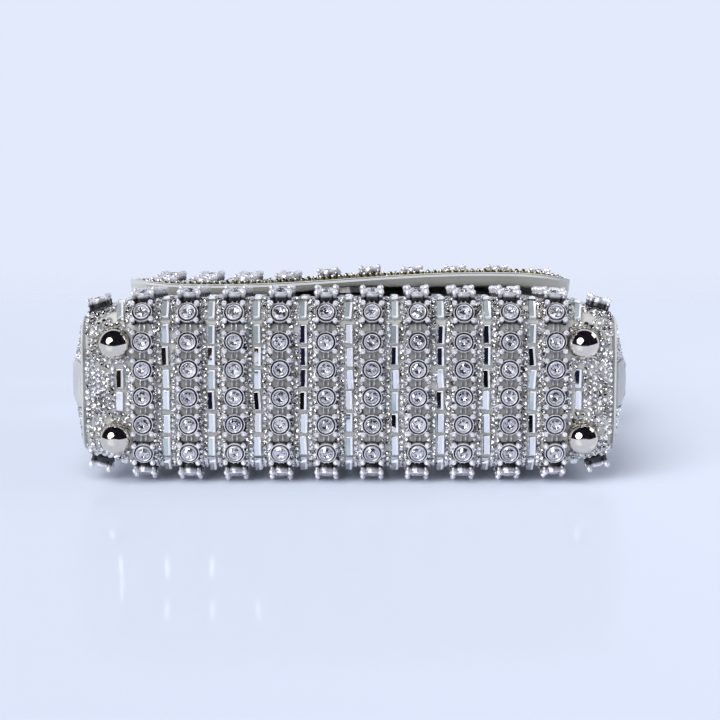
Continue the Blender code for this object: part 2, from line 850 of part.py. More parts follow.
def flap_runs(x):
    """Places along the flap from the hinge to its free edge."""
    fold = [flap_top_run + flap_fold_radius * flap_fold_turn * i / fold_steps for i in range(fold_steps)]
    drop = flap_reach(x) - flap_fold_end
    return [0] + fold + [flap_fold_end + drop * share for share in flap_drop_shares]


def make_flap_sheet(name, low, high, dress, flap_axis):
    """One layer of the flap between two offsets from its underside."""
    grids = []
    for offset in (high, low):
        grid = []
        for x in flap_stations():
            grid.append([flap_frame(x, run, offset).translation for run in flap_runs(x)])
        grids.append(grid)
    sheet = add_piece(name, slab(*grids), dress, flap_axis, hinge_point)
    smooth(sheet)
    return sheet


def make_edge_row(dress, flap_axis):
    """The row of small stones along the flap's sides and free edge."""
    inset = flap_half_width - edge_row_inset
    corner = flap_corner_radius - edge_row_inset
    straight = flap_half_width - flap_corner_radius
    seat = flap_thickness + gap + edge_row_radius
    corner_run = flap_length - flap_corner_radius
    quarter = [math.pi / 2 * i / fold_steps for i in range(fold_steps + 1)]
    right = [(inset, flap_fold_end), (inset, (flap_fold_end + corner_run) / 2)]
    right += [(straight + corner * math.cos(a), corner_run + corner * math.sin(a)) for a in quarter]
    for share in reversed(flap_straight_shares[:-1]):
        right.append((straight * share, flap_length - edge_row_inset))
    places = right + [(0, flap_length - edge_row_inset)] + [(-x, run) for x, run in reversed(right)]
    points = [flap_frame(x, run, seat).translation for x, run in places]
    tube("flap_edge_row", points, edge_row_radius, 1, dress, flap_axis, hinge_point)


def make_flap_chains(dress, flap_axis):
    """The cup chains on the flap's drop, counted up from its free edge."""
    seat = flap_thickness + gap
    for number, x in enumerate(chain_places(), start=1):
        first = flap_reach(abs(x) + cup_width / 2) - flap_cup_edge_margin
        frame_at = lambda run: flap_frame(x, run, seat)
        chain = chain_shape(frame_at, flap_cup_rows, first, -cup_pitch, range(1))
        add_piece(f"flap_chain_{number}", chain, dress, flap_axis, hinge_point)


def make_closure(dress, root, flap_axis, front_panel, front_board):
    """A magnetic snap: one half on the front panel, the other on the flap's lining."""
    front = Vector(wall_point(0, magnet_z, 0, -1))
    face = Vector((0, -math.cos(wall_lean), math.sin(wall_lean)))
    place = flap_frame(0, flap_fold_end + magnet_drop, 0)
    outward = place.to_3x3() @ Vector((0, 0, 1))
    seat = place.translation - outward * gap
    flap_face = seat - outward * flap_magnet_thickness
    turn = (-outward).to_track_quat("Z", "Y").to_matrix().to_4x4()
    profile = [(magnet_radius, 0), (magnet_radius, flap_magnet_thickness)]
    half = turned(profile, stud_circle, Matrix.Translation(seat) @ turn)
    piece = add_piece("flap_magnet", half, dress, flap_axis, hinge_point)
    smooth(piece)
    wedge = magnet_radius * math.sin(flap_spread)
    reach = (flap_face - front).dot(face) - wedge - magnet_face_clearance
    turn = face.to_track_quat("Z", "Y").to_matrix().to_4x4()
    back = board_offset + board_thickness
    profile = [(magnet_shank_radius, -back), (magnet_shank_radius, gap)]
    profile += [(magnet_radius, gap), (magnet_radius, reach)]
    half = turned(profile, stud_circle, Matrix.Translation(front) @ turn)
    smooth(add_piece("front_magnet", half, dress, root))
    for piece in (front_panel, front_board):
        drill(piece, front, face, magnet_shank_radius + running_clearance, 2 * (back + cut_overrun), root)


def handle_line():
    """The middle of the handle's roll, a squared arch over the flap from side to side."""
    start_z = handle_pivot.z + handle_start_above_pivot
    arch_z = start_z + ferrule_length
    half_span = ferrule_x
    points = [Vector((half_span, 0, start_z))]
    for k in range(handle_points):
        angle = math.pi * k / (handle_points - 1)
        share_x = math.copysign(abs(math.cos(angle)) ** (2 / handle_corner_power), math.cos(angle))
        share_z = math.sin(angle) ** (2 / handle_corner_power)
        points.append(Vector((half_span * share_x, 0, arch_z + handle_rise * share_z)))
    return points + [Vector((-half_span, 0, start_z))]


def make_handle(leather_dress, metal_dress, handle_axis):
    """The leather roll and the metal ends that turn on the studs."""
    tube("handle_roll", handle_line(), handle_roll_radius, 2, leather_dress, handle_axis, handle_pivot)
    for name, side in (("handle_end_left", -1), ("handle_end_right", 1)):
        x = side * ferrule_x
        start = handle_pivot.z + handle_start_above_pivot - gap
        wall_bottom = start - ferrule_wall
        profile = [(ferrule_radius, wall_bottom), (ferrule_radius, wall_bottom + ferrule_length)]
        bore = handle_roll_radius + gap
        profile += [(bore, wall_bottom + ferrule_length), (bore, start)]
        cup = turned(profile, stud_circle, Matrix.Translation((x, 0, 0)))
        lug = lug_shape(side * (lug_x + lug_thickness / 2), wall_bottom)
        end = add_piece(name, cup, metal_dress, handle_axis, handle_pivot)
        add_piece_to(end, lug, handle_axis)
        drill(
            end, (side * lug_x, 0, handle_pivot.z), (1, 0, 0), stud_shank_radius + running_clearance,
            2 * (lug_thickness + cut_overrun), handle_axis, handle_pivot,
        )
        smooth(end)


def lug_shape(x, top_z):
    """The flat lug below the ferrule, round at its lower end about the pivot."""
    shape = bmesh.new()
    half = lug_width / 2
    outline = [(half, top_z + ferrule_wall / 2), (-half, top_z + ferrule_wall / 2)]
    for k in range(lug_round_steps + 1):
        angle = math.pi + math.pi * k / lug_round_steps
        outline.append((half * math.cos(angle), handle_pivot.z + half * math.sin(angle)))
    near = [shape.verts.new((x - lug_thickness / 2, y, z)) for y, z in outline]
    far = [shape.verts.new((x + lug_thickness / 2, y, z)) for y, z in outline]
    shape.faces.new(near)
    shape.faces.new(far)
    for k in range(len(outline)):
        n = (k + 1) % len(outline)
        shape.faces.new((near[k], near[n], far[n], far[k]))
    return shape


def add_piece_to(piece, shape, carrier):
    """Fuse a second shape into a piece with a union."""
    joined = add_piece(piece.name + "_lug", shape, piece.data.materials[0], carrier, handle_pivot)
    joined.hide_render = True
    joined.display_type = "WIRE"
    union = piece.modifiers.new("lug", "BOOLEAN")
    union.operation = "UNION"
    union.object = joined


def make_stud(name, side, dress, root):
    """The stud that the handle turns on: head, shank through lug, band and gusset, and nut inside."""
    middle_share = gusset_width_shares[len(gusset_width_shares) // 2 + 1]
    facet_drop = gusset_puff * middle_share * stud_nut_radius / gusset_half_width(handle_pivot.z)
    inside = gusset_puff - facet_drop - leather_thickness - gap
    head_inner = lug_x + lug_thickness + gap
    nut_outer = body_half_width + inside
    profile = [(stud_nut_radius, nut_outer - stud_nut_thickness), (stud_nut_radius, nut_outer)]
    profile += [(stud_shank_radius, nut_outer), (stud_shank_radius, head_inner)]
    profile.append((stud_head_radius, head_inner))
    for wide, high in stud_head_shares:
        profile.append((stud_head_radius * wide, head_inner + stud_head_thickness * high))
    profile.append((0, head_inner + stud_head_thickness))
    turn = Vector((side, 0, 0)).to_track_quat("Z", "Y").to_matrix().to_4x4()
    place = Matrix.Translation((0, 0, handle_pivot.z)) @ turn
    smooth(add_piece(name, turned(profile, stud_circle, place), dress, root))


def centre_over_origin(root):
    """Move the bag so that the middle of its bounding box is over the origin."""
    bpy.context.view_layer.update()
    graph = bpy.context.evaluated_depsgraph_get()
    ys = []
    for item in bpy.data.objects:
        if item.type not in {"MESH", "CURVE"} or item.hide_render:
            continue
        shown = item.evaluated_get(graph)
        ys += [(shown.matrix_world @ vertex.co).y for vertex in shown.to_mesh().vertices]
        shown.to_mesh_clear()
    root.location.y = -(min(ys) + max(ys)) / 2
    bpy.context.view_layer.update()
    print("bag moved along Y by", round(root.location.y, 6))
    print("flap hinge", [round(value, 6) for value in (0, hinge_point.y + root.location.y, hinge_point.z)])
    print("handle pivot", [round(value, 6) for value in (0, root.location.y, handle_pivot.z)])


def main():
    """Build the bag from the base up."""
    clear_scene()
    leather = material("grey_leather", leather_grey, 0.42, 0.0)
    fabric = material("lining_leather", lining_grey, 0.6, 0.0)
    nickel = material("polished_nickel", polished_nickel, 0.12, 1.0)
    stone = material("clear_stone", clear_stone, 0.05, 0.0)
    card = material("stiff_board", board_brown, 0.8, 0.0)
    brass = material("brass_backed_stone", brass_stone, 0.2, 0.6)

    root = empty_at("bag", (0, 0, 0))
    flap_axis = empty_at("flap_axis", hinge_point, root)
    handle_axis = empty_at("handle_axis", handle_pivot, root)

    fuse_stones(make_base_panel(leather, root), base_stones(), stone, root)
    front_panel = make_wall_panel("front_panel", -1, leather, root)
    front_rise = flap_edge_z - wall_foot_z - front_field_margin
    fuse_stones(front_panel, wall_stones(-1, front_rise), stone, root)
    back_panel = make_wall_panel("back_panel", 1, leather, root)
    fuse_stones(back_panel, wall_stones(1, wall_rise - back_field_margin), stone, root)
    make_base_board(card, root)
    front_board = make_wall_board("front_board", -1, card, root)
    make_wall_board("back_board", 1, card, root)
    make_lining(fabric, root)
    for word, side in (("left", -1), ("right", 1)):
        make_gusset(f"gusset_{word}", side, leather, stone, root)
        make_band(f"gusset_band_{word}", side, leather, root)
        make_piping(f"piping_{word}", side, leather, root)
        make_stud(f"handle_stud_{word}", side, nickel, root)
    words = ("left_front", "left_back", "right_front", "right_back")
    for word, (x, y) in zip(words, foot_places()):
        make_foot(f"foot_{word}", x, y, nickel, root)
        make_foot_washer(f"foot_washer_{word}", x, y, nickel, root)
    make_chains(nickel, root)
    make_corner_cups(nickel, root)

    make_flap_sheet("flap_lining", 0, flap_lining_thickness, fabric, flap_axis)
    make_flap_sheet("flap_leather", flap_leather_offset, flap_thickness, leather, flap_axis)
    make_edge_row(brass, flap_axis)
    make_flap_chains(nickel, flap_axis)
    make_closure(nickel, root, flap_axis, front_panel, front_board)
    make_handle(leather, nickel, handle_axis)
    centre_over_origin(root)


main()
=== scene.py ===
"""Looks of a stone-set flap handbag that lies on its back with its base to the camera.

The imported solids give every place. The classes below remake the leather, the settings and the stones on
the same form, dress every piece with a procedural finish, and set up a plain pale studio.
"""

import logging
import math
from dataclasses import dataclass, field
from enum import Enum

import bmesh
import bpy
import numpy as np
from mathutils import Matrix, Vector


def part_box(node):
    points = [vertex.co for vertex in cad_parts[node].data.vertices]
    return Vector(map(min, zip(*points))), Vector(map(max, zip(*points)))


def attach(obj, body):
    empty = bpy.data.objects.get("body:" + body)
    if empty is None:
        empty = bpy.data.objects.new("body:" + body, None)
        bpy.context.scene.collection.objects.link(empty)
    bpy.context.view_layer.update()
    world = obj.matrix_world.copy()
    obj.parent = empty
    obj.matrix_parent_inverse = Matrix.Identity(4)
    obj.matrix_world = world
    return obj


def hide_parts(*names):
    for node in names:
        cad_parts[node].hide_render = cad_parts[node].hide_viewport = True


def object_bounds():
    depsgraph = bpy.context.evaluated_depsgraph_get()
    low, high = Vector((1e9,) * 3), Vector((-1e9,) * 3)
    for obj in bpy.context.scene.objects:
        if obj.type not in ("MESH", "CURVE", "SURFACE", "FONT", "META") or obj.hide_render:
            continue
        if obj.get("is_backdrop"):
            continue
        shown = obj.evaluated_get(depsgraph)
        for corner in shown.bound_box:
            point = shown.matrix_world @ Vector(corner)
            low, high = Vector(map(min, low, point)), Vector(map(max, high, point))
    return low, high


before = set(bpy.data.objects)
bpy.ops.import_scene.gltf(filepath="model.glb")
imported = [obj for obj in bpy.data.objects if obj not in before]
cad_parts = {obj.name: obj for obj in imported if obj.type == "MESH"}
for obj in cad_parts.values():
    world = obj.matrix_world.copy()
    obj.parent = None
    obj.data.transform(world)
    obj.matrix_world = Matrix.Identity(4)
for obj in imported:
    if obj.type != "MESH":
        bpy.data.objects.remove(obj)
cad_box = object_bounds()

log = logging.getLogger("handbag")
Colour = tuple[float, float, float]

BLACK, WHITE = (0.0, 0.0, 0.0), (1.0, 1.0, 1.0)
SIDES = (("left", -1), ("right", 1))
CORNERS = tuple((f"{word}_{end}", i, j) for word, i in SIDES for end, j in (("front", -1), ("back", 1)))


class Body(Enum):
    """The three bodies that pieces ride on."""

    BAG = "bag"
    FLAP = "flap"
    HANDLE = "handle"


class Slot(Enum):
    """The record's material slots."""

    LEATHER = "grey_leather"
    LINING = "lining_leather"
    BOARD = "stiff_board"
    NICKEL = "polished_nickel"
    SETTING = "stone_setting"
    BRASS = "brass_row"


class Crease(Enum):
    """The sharpest angle, in degrees, that a piece shades smooth; none on cut facets."""

    FACETS = 0
    CUP = 30
    CLAW = 35
    EDGED = 40
    LEATHER = 50
    ROUND = 60


# Shapes


@dataclass(frozen=True)
class Places:
    """Where copies of a shape stand: an origin and three axes (across, along, outward) for each."""

    origins: np.ndarray
    axes: np.ndarray

    def __len__(self) -> int:
        """How many places there are."""
        return len(self.origins)

    def kept(self, mask: np.ndarray) -> "Places":
        """Only the places that a mask keeps."""
        return Places(self.origins[mask], self.axes[mask])

    def moved(self, across: object = 0.0, along: object = 0.0, outward: object = 0.0) -> "Places":
        """Every place moved along its own axes.

        Args:
            across: metres along the first axis, one value or one for each place.
            along: metres along the second axis.
            outward: metres along the third axis.

        Returns:
            The moved places.
        """
        steps = np.stack(np.broadcast_arrays(across, along, outward, np.zeros(len(self.origins)))[:3], axis=1)
        return Places(self.origins + np.einsum("nij,nj->ni", self.axes, steps), self.axes)

    def turned(self, spin: object = 0.0, nod: object = 0.0, lean: object = 0.0) -> "Places":
        """Every place turned by small angles about its own axes.

        Args:
            spin: radians about the outward axis.
            nod: radians about the across axis.
            lean: radians about the along axis.

        Returns:
            The turned places: the product of the three plane turns, applied in the local frame.
        """
        count = len(self.origins)
        spin, nod, lean = (np.broadcast_to(value, count) for value in (spin, nod, lean))
        turn = np.tile(np.eye(3), (count, 1, 1))
        for angle, (i, j) in ((spin, (0, 1)), (nod, (1, 2)), (lean, (2, 0))):
            one = np.tile(np.eye(3), (count, 1, 1))
            one[:, i, i] = one[:, j, j] = np.cos(angle)
            one[:, i, j] = -np.sin(angle)
            one[:, j, i] = np.sin(angle)
            turn = turn @ one
        return Places(self.origins, self.axes @ turn)

    @staticmethod
    def joined(parts: list["Places"]) -> "Places":
        """Several sets of places as one."""
        return Places(np.concatenate([p.origins for p in parts]), np.concatenate([p.axes for p in parts]))


@dataclass(frozen=True)
class Shape:
    """Points, and faces grouped by how many corners they have."""

    points: np.ndarray
    faces: tuple[np.ndarray, ...]

    def copied(self, places: Places) -> "Shape":
        """The shape at every place: origin plus the local point carried by the place's axes.

        Args:
            places: where the copies stand.

        Returns:
            Origin plus the local point carried by the place's axes, for every place.
        """
        count, size = len(places), len(self.points)
        points = places.origins[:, None, :] + np.einsum("nij,vj->nvi", places.axes, self.points)
        first = (np.arange(count) * size)[:, None, None]
        faces = tuple((group[None] + first).reshape(-1, group.shape[1]) for group in self.faces)
        return Shape(points.reshape(-1, 3), faces)

    @staticmethod
    def merged(shapes: list["Shape"]) -> "Shape":
        """Several shapes as one.

        Args:
            shapes: the shapes in order.

        Returns:
            Their points and faces one after another.
        """
        faces: list[np.ndarray] = []
        start = 0
        for shape in shapes:
            faces += [group + start for group in shape.faces]
            start += len(shape.points)
        return Shape(np.concatenate([shape.points for shape in shapes]), tuple(faces))


def unit(vectors: np.ndarray) -> np.ndarray:
    """Vectors brought to length 1."""
    return vectors / np.linalg.norm(vectors, axis=-1, keepdims=True)


def squared(vectors: np.ndarray, to: np.ndarray) -> np.ndarray:
    """Vectors made square to unit vectors, and brought to length 1."""
    return unit(vectors - to * np.sum(vectors * to, axis=1, keepdims=True))


def turns(steps: int) -> np.ndarray:
    """Even angles round a full turn."""
    return np.arange(steps) * 2 * np.pi / steps


def circle(radius: object, height: object, sides: int) -> np.ndarray:
    """Points at (r cos a, r sin a, h), for one ring or for many."""
    turn = turns(sides)
    return np.stack([radius * np.cos(turn), radius * np.sin(turn), height + 0 * turn], axis=-1)


def lofted(rings: np.ndarray, capped: bool = True) -> Shape:
    """A skin through rings of points.

    Args:
        rings: (r, k, 3) points, each ring closed on itself.
        capped: whether the first and last ring get a face.

    Returns:
        Quads between ring i and i + 1, corner j and j + 1, and the two end faces.
    """
    rows, corners = rings.shape[:2]
    index = np.arange(rows * corners).reshape(rows, corners)
    after = np.roll(index, -1, axis=1)
    quads = np.stack([index[:-1], after[:-1], after[1:], index[1:]], axis=-1).reshape(-1, 4)
    faces = (quads, index[:1, ::-1], index[-1:]) if capped else (quads,)
    return Shape(rings.reshape(-1, 3), faces)


def revolved(profile: object, sides: int, closed: bool = False) -> Shape:
    """A profile spun round the local Z axis: (r cos a, r sin a, z).

    Args:
        profile: (radius, height) pairs from low to high.
        sides: how many steps make the turn.
        closed: whether the profile is a closed ring, as on a bezel, and needs no caps.

    Returns:
        The spun shape.
    """
    pairs = np.asarray(profile, float)
    if closed:
        pairs = np.concatenate([pairs, pairs[:1]])
    shape = lofted(circle(pairs[:, :1], pairs[:, 1:], sides), capped=not closed)
    if not closed:
        return shape
    return Shape(shape.points[:-sides], (shape.faces[0] % (len(shape.points) - sides),))


def starred(rings: np.ndarray, middle: float) -> Shape:
    """A stone: a skin through rings, the last of them filled by a star of facets round a middle point.

    Args:
        rings: (r, k, 3) points from the foot up.
        middle: the middle point's height.

    Returns:
        The stone, its faces grouped as the skin, the foot and the star.
    """
    skin = lofted(rings)
    sides, size = rings.shape[1], len(skin.points)
    last = size - sides + np.arange(sides)
    star = np.stack([last, np.roll(last, -1), np.full(sides, size)], axis=1)
    return Shape(np.concatenate([skin.points, [[0.0, 0.0, middle]]]), (skin.faces[0], skin.faces[1], star))


def slab(outer: np.ndarray, inner: np.ndarray) -> Shape:
    """A closed sheet between two (r, c, 3) grids, with walls between their rims.

    Args:
        outer: (r, c, 3) points of the outside.
        inner: (r, c, 3) points of the inside.

    Returns:
        Quads on both grids, the inside's turned round, and a wall round the rims.
    """
    rows, columns = outer.shape[:2]
    top = np.arange(rows * columns).reshape(rows, columns)
    quads = np.stack([top[:-1, :-1], top[:-1, 1:], top[1:, 1:], top[1:, :-1]], axis=-1).reshape(-1, 4)
    rim = np.concatenate([top[0, :-1], top[:-1, -1], top[-1, :0:-1], top[:0:-1, 0]])
    after = np.roll(rim, -1)
    size = rows * columns
    wall = np.stack([after, rim, rim + size, after + size], axis=-1)
    points = np.concatenate([outer.reshape(-1, 3), inner.reshape(-1, 3)])
    return Shape(points, (quads, quads[:, ::-1] + size, wall))


def piped(path: np.ndarray, flat: tuple[float, float, float], radius: object, sides: int) -> Shape:
    """A round tube along a path that lies in, or near, a plane.

    Args:
        path: (n, 3) points.
        flat: the plane's normal; the section's axes are this and its product with the path's direction.
        radius: one value, or an (n, sides) grid of them.
        sides: how many sides the tube has.

    Returns:
        Rings at path + r (cos a * b + sin a * flat), capped.
    """
    along = unit(np.gradient(path, axis=0))
    normal = np.asarray(flat, float)
    flat_axis = unit(normal - along * (along @ normal)[:, None])
    side_axis = np.cross(along, flat_axis)
    turn = turns(sides)[None, :, None]
    reach = np.broadcast_to(radius, (len(path), sides))[..., None]
    return lofted(path[:, None] + reach * (np.cos(turn) * side_axis[:, None] + np.sin(turn) * flat_axis[:, None]))


def box_shape(size: tuple[float, float, float], base: float = 0.0) -> Shape:
    """A block centred across and along, standing on a height.

    Args:
        size: metres across, along and up.
        base: the height of its foot.

    Returns:
        The block.
    """
    x, y, z = size[0] / 2, size[1] / 2, size[2]
    square = np.array([(-x, -y), (x, -y), (x, y), (-x, y)])
    rings = np.stack([np.column_stack([square, np.full(4, base + h)]) for h in (0.0, z)])
    return lofted(rings)


def wander(seed: int, count: int) -> np.ndarray:
    """Seeded even numbers from -1 to 1."""
    return np.random.default_rng(seed).uniform(-1, 1, count)


def wanders(first: int, number: int, count: int) -> list[np.ndarray]:
    """Several wanders, with seeds that follow each other."""
    return [wander(first + step, count) for step in range(number)]


def run_along(line: np.ndarray) -> np.ndarray:
    """The length along a line, up to each of its points."""
    return np.concatenate([[0], np.cumsum(np.linalg.norm(np.diff(line, axis=0), axis=1))])


def flattened(first: np.ndarray, second: np.ndarray) -> tuple[np.ndarray, ...]:
    """Two values or grids, spread to one shape and made flat arrays."""
    return tuple(np.asarray(part, float).ravel() for part in np.broadcast_arrays(first, second))


def ripple(x: np.ndarray, y: np.ndarray, length: float, seed: int) -> np.ndarray:
    """A soft unevenness from -1 to 1: the mean of four sine waves of seeded direction and phase.

    Args:
        x: one coordinate in metres.
        y: the other coordinate.
        length: a wave's middling length.
        seed: the number that the draws start from.

    Returns:
        A value for each point.
    """
    draw = np.random.default_rng(seed)
    total = 0
    for turn, phase, stretch in draw.uniform(0, 1, (4, 3)):
        angle = turn * 2 * np.pi
        reach = (x * np.cos(angle) + y * np.sin(angle)) / (length * (0.7 + 0.8 * stretch))
        total = total + np.sin(2 * np.pi * (reach + phase)) / 4
    return total


# Pieces


@dataclass(frozen=True)
class Dress:
    """A piece's slot in the record and the procedural finish that it wears."""

    slot: Slot
    material: bpy.types.Material


def add_piece(
    name: str,
    shape: Shape,
    dress: Dress,
    stands_for: str = "",
    crease: Crease = Crease.FACETS,
    grain: dict[str, np.ndarray] | None = None,
    body: Body = Body.BAG,
) -> None:
    """Make a shape an object with its normals outwards, dress it, and let it ride.

    Args:
        name: the piece's name.
        shape: its points and faces, in the row frame.
        dress: its slot and finish.
        stands_for: the CAD node that it replaces, if any.
        crease: the sharpest angle that is shaded smooth.
        grain: values for each point, by attribute name.
        body: the body that it rides on.
    """
    mesh = bpy.data.meshes.new(name)
    mesh.vertices.add(len(shape.points))
    mesh.vertices.foreach_set("co", shape.points.astype(np.float32).ravel())
    corners = np.concatenate([group.ravel() for group in shape.faces])
    sizes = np.concatenate([np.full(len(group), group.shape[1]) for group in shape.faces])
    mesh.loops.add(len(corners))
    mesh.loops.foreach_set("vertex_index", corners.astype(np.int32))
    mesh.polygons.add(len(sizes))
    mesh.polygons.foreach_set("loop_start", np.concatenate([[0], np.cumsum(sizes)[:-1]]).astype(np.int32))
    mesh.update(calc_edges=True)
    mesh.validate()
    for label, values in (grain or {}).items():
        mesh.attributes.new(label, "FLOAT", "POINT").data.foreach_set("value", values.astype(np.float32))
    working = bmesh.new()
    working.from_mesh(mesh)
    bmesh.ops.recalc_face_normals(working, faces=working.faces)
    working.to_mesh(mesh)
    working.free()
    mesh.shade_flat()
    if crease.value:
        mesh.shade_smooth()
        mesh.set_sharp_from_angle(angle=math.radians(crease.value))
    mesh.materials.append(dress.material)
    piece = bpy.data.objects.new(name, mesh)
    bpy.context.scene.collection.objects.link(piece)
    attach(piece, body.value)
    if stands_for:
        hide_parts(stands_for)
    log.info("%s: %d faces", name, len(sizes))


def dress_node(name: str, dress: Dress) -> None:
    """Give a CAD node that stays its procedural finish.

    Args:
        name: the node's name.
        dress: its slot and finish.
    """
    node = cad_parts[name]
    node.data.materials.clear()
    node.data.materials.append(dress.material)
    log.info("%s: solid kept", name)


# Finishes


class Nodes:
    """A node tree, built a step at a time."""

    def __init__(self, tree: bpy.types.NodeTree, coordinates: str) -> None:
        """Start with one kind of texture coordinates."""
        self.tree = tree
        self.place = self.node("ShaderNodeTexCoord").outputs[coordinates]

    def node(self, kind: str, **settings: object) -> bpy.types.Node:
        """Add a node, with its own settings, and values or links for its inputs.

        Args:
            kind: the node's type.
            settings: attributes of the node; a name that starts with in_ is an input by its number.

        Returns:
            The node.
        """
        made = self.tree.nodes.new(kind)
        inputs = {key: value for key, value in settings.items() if key.startswith("in_")}
        for key, value in settings.items():
            if key not in inputs:
                setattr(made, key, value)
        for key, value in inputs.items():
            self.feed(made.inputs[int(key[3:])], value)
        return made

    def feed(self, socket: bpy.types.NodeSocket, value: object) -> None:
        """Link a socket, or set its value."""
        if isinstance(value, bpy.types.NodeSocket):
            self.tree.links.new(value, socket)
        else:
            socket.default_value = value

    def noise(self, scale: float, detail: float = 3.0, rough: float = 0.5) -> bpy.types.NodeSocket:
        """Fractal noise, with a scale per metre.

        Args:
            scale: repeats per metre.
            detail: how many finer layers it has.
            rough: how strong the finer layers are.

        Returns:
            The noise, about 0.5 on average.
        """
        made = self.node("ShaderNodeTexNoise")
        for label, value in (("Vector", self.place), ("Scale", scale), ("Detail", detail), ("Roughness", rough)):
            self.feed(made.inputs[label], value)
        return made.outputs["Fac"]

    def cells(self, scale: float, output: str = "Distance") -> bpy.types.NodeSocket:
        """A cell pattern, with a scale per metre.

        Args:
            scale: repeats per metre.
            output: which output is wanted.

        Returns:
            That output.
        """
        made = self.node("ShaderNodeTexVoronoi")
        self.feed(made.inputs["Vector"], self.place)
        self.feed(made.inputs["Scale"], scale)
        return made.outputs[output]

    def lot(self, label: str) -> bpy.types.NodeSocket:
        """A value stored on the piece's points."""
        return self.node("ShaderNodeAttribute", attribute_name=label).outputs["Fac"]

    def ramp(self, value: object, stops: list[tuple[float, tuple[float, float, float]]]) -> bpy.types.NodeSocket:
        """A colour for each value between named stops.

        Args:
            value: what picks the colour.
            stops: pairs of a value and its colour.

        Returns:
            The colour.
        """
        made = self.node("ShaderNodeValToRGB", in_0=value)
        points = made.color_ramp.elements
        while len(points) < len(stops):
            points.new(1.0)
        for point, (place, colour) in zip(points, stops):
            point.position = place
            point.color = (*colour, 1.0)
        return made.outputs["Color"]

    def level(
        self, value: object, low: float, high: float, to_low: float = 0.0, to_high: float = 1.0, ease: str = "LINEAR"
    ) -> bpy.types.NodeSocket:
        """A value moved from one range to another, held at its ends.

        Args:
            value: what is moved.
            low: the first range's start.
            high: its end.
            to_low: the value at the start.
            to_high: the value at the end.
            ease: Blender's name for the way between.

        Returns:
            The moved value.
        """
        ends = {"in_1": low, "in_2": high, "in_3": to_low, "in_4": to_high}
        return self.node("ShaderNodeMapRange", interpolation_type=ease, in_0=value, **ends).outputs["Result"]

    def maths(self, operation: str, first: object, second: object = 0.0) -> bpy.types.NodeSocket:
        """One sum on values."""
        return self.node("ShaderNodeMath", operation=operation, in_0=first, in_1=second).outputs[0]

    def blend(self, share: object, first: object, second: object, how: str = "MIX") -> bpy.types.NodeSocket:
        """Two colours mixed by a share.

        Args:
            share: how much of the second colour.
            first: a colour or a socket.
            second: a colour or a socket.
            how: Blender's name for the way they mix.

        Returns:
            The colour.
        """
        made = self.node("ShaderNodeMix", data_type="RGBA", blend_type=how)
        self.feed(made.inputs["Factor"], share)
        for label, value in (("A", first), ("B", second)):
            socket = next(s for s in made.inputs if s.name == label and s.type == "RGBA")
            self.feed(socket, value if isinstance(value, bpy.types.NodeSocket) else (*value, 1.0))
        return next(s for s in made.outputs if s.type == "RGBA")

    def mix(self, share: object, first: bpy.types.Node, second: bpy.types.Node) -> bpy.types.Node:
        """Two shaders mixed by a share."""
        return self.node("ShaderNodeMixShader", in_0=share, in_1=first.outputs[0], in_2=second.outputs[0])

    def bumped(self, height: object, strength: float, depth: float) -> bpy.types.NodeSocket:
        """A normal from heights, with a depth in metres.

        Args:
            height: the heights.
            strength: the share of the effect.
            depth: metres from low to high.

        Returns:
            The normal.
        """
        made = self.node("ShaderNodeBump")
        for label, value in (("Height", height), ("Strength", strength), ("Distance", depth)):
            self.feed(made.inputs[label], value)
        return made.outputs["Normal"]

    def shards(self, scale: float, strength: float) -> bpy.types.NodeSocket:
        """A normal that each cell tilts its own way, as the facets seen in a cut stone do.

        Args:
            scale: repeats per metre.
            strength: how strongly it tilts.

        Returns:
            The piece's normal plus each cell's own step, brought to length 1.
        """
        colour = self.cells(scale, "Color")
        centred = self.node("ShaderNodeVectorMath", operation="SUBTRACT", in_0=colour, in_1=(0.5, 0.5, 0.5))
        scaled = self.node("ShaderNodeVectorMath", operation="SCALE", in_0=centred.outputs[0])
        self.feed(scaled.inputs["Scale"], strength)
        own = self.node("ShaderNodeNewGeometry").outputs["Normal"]
        total = self.node("ShaderNodeVectorMath", operation="ADD", in_0=own, in_1=scaled.outputs[0])
        return self.node("ShaderNodeVectorMath", operation="NORMALIZE", in_0=total.outputs[0]).outputs[0]


class Recipe(Nodes):
    """A material's node tree."""

    def __init__(self, name: str) -> None:
        """Start with a Principled shader and Object coordinates.

        Args:
            name: the material's name.
        """
        self.material = bpy.data.materials.new(name)
        self.material.use_nodes = True
        super().__init__(self.material.node_tree, "Object")
        self.shader = self.tree.nodes["Principled BSDF"]

    def finished(self, **sockets: object) -> bpy.types.Material:
        """Set the shader's sockets, named with _ for spaces, and give the material."""
        for label, value in sockets.items():
            self.feed(self.shader.inputs[label.replace("_", " ")], value)
        return self.material


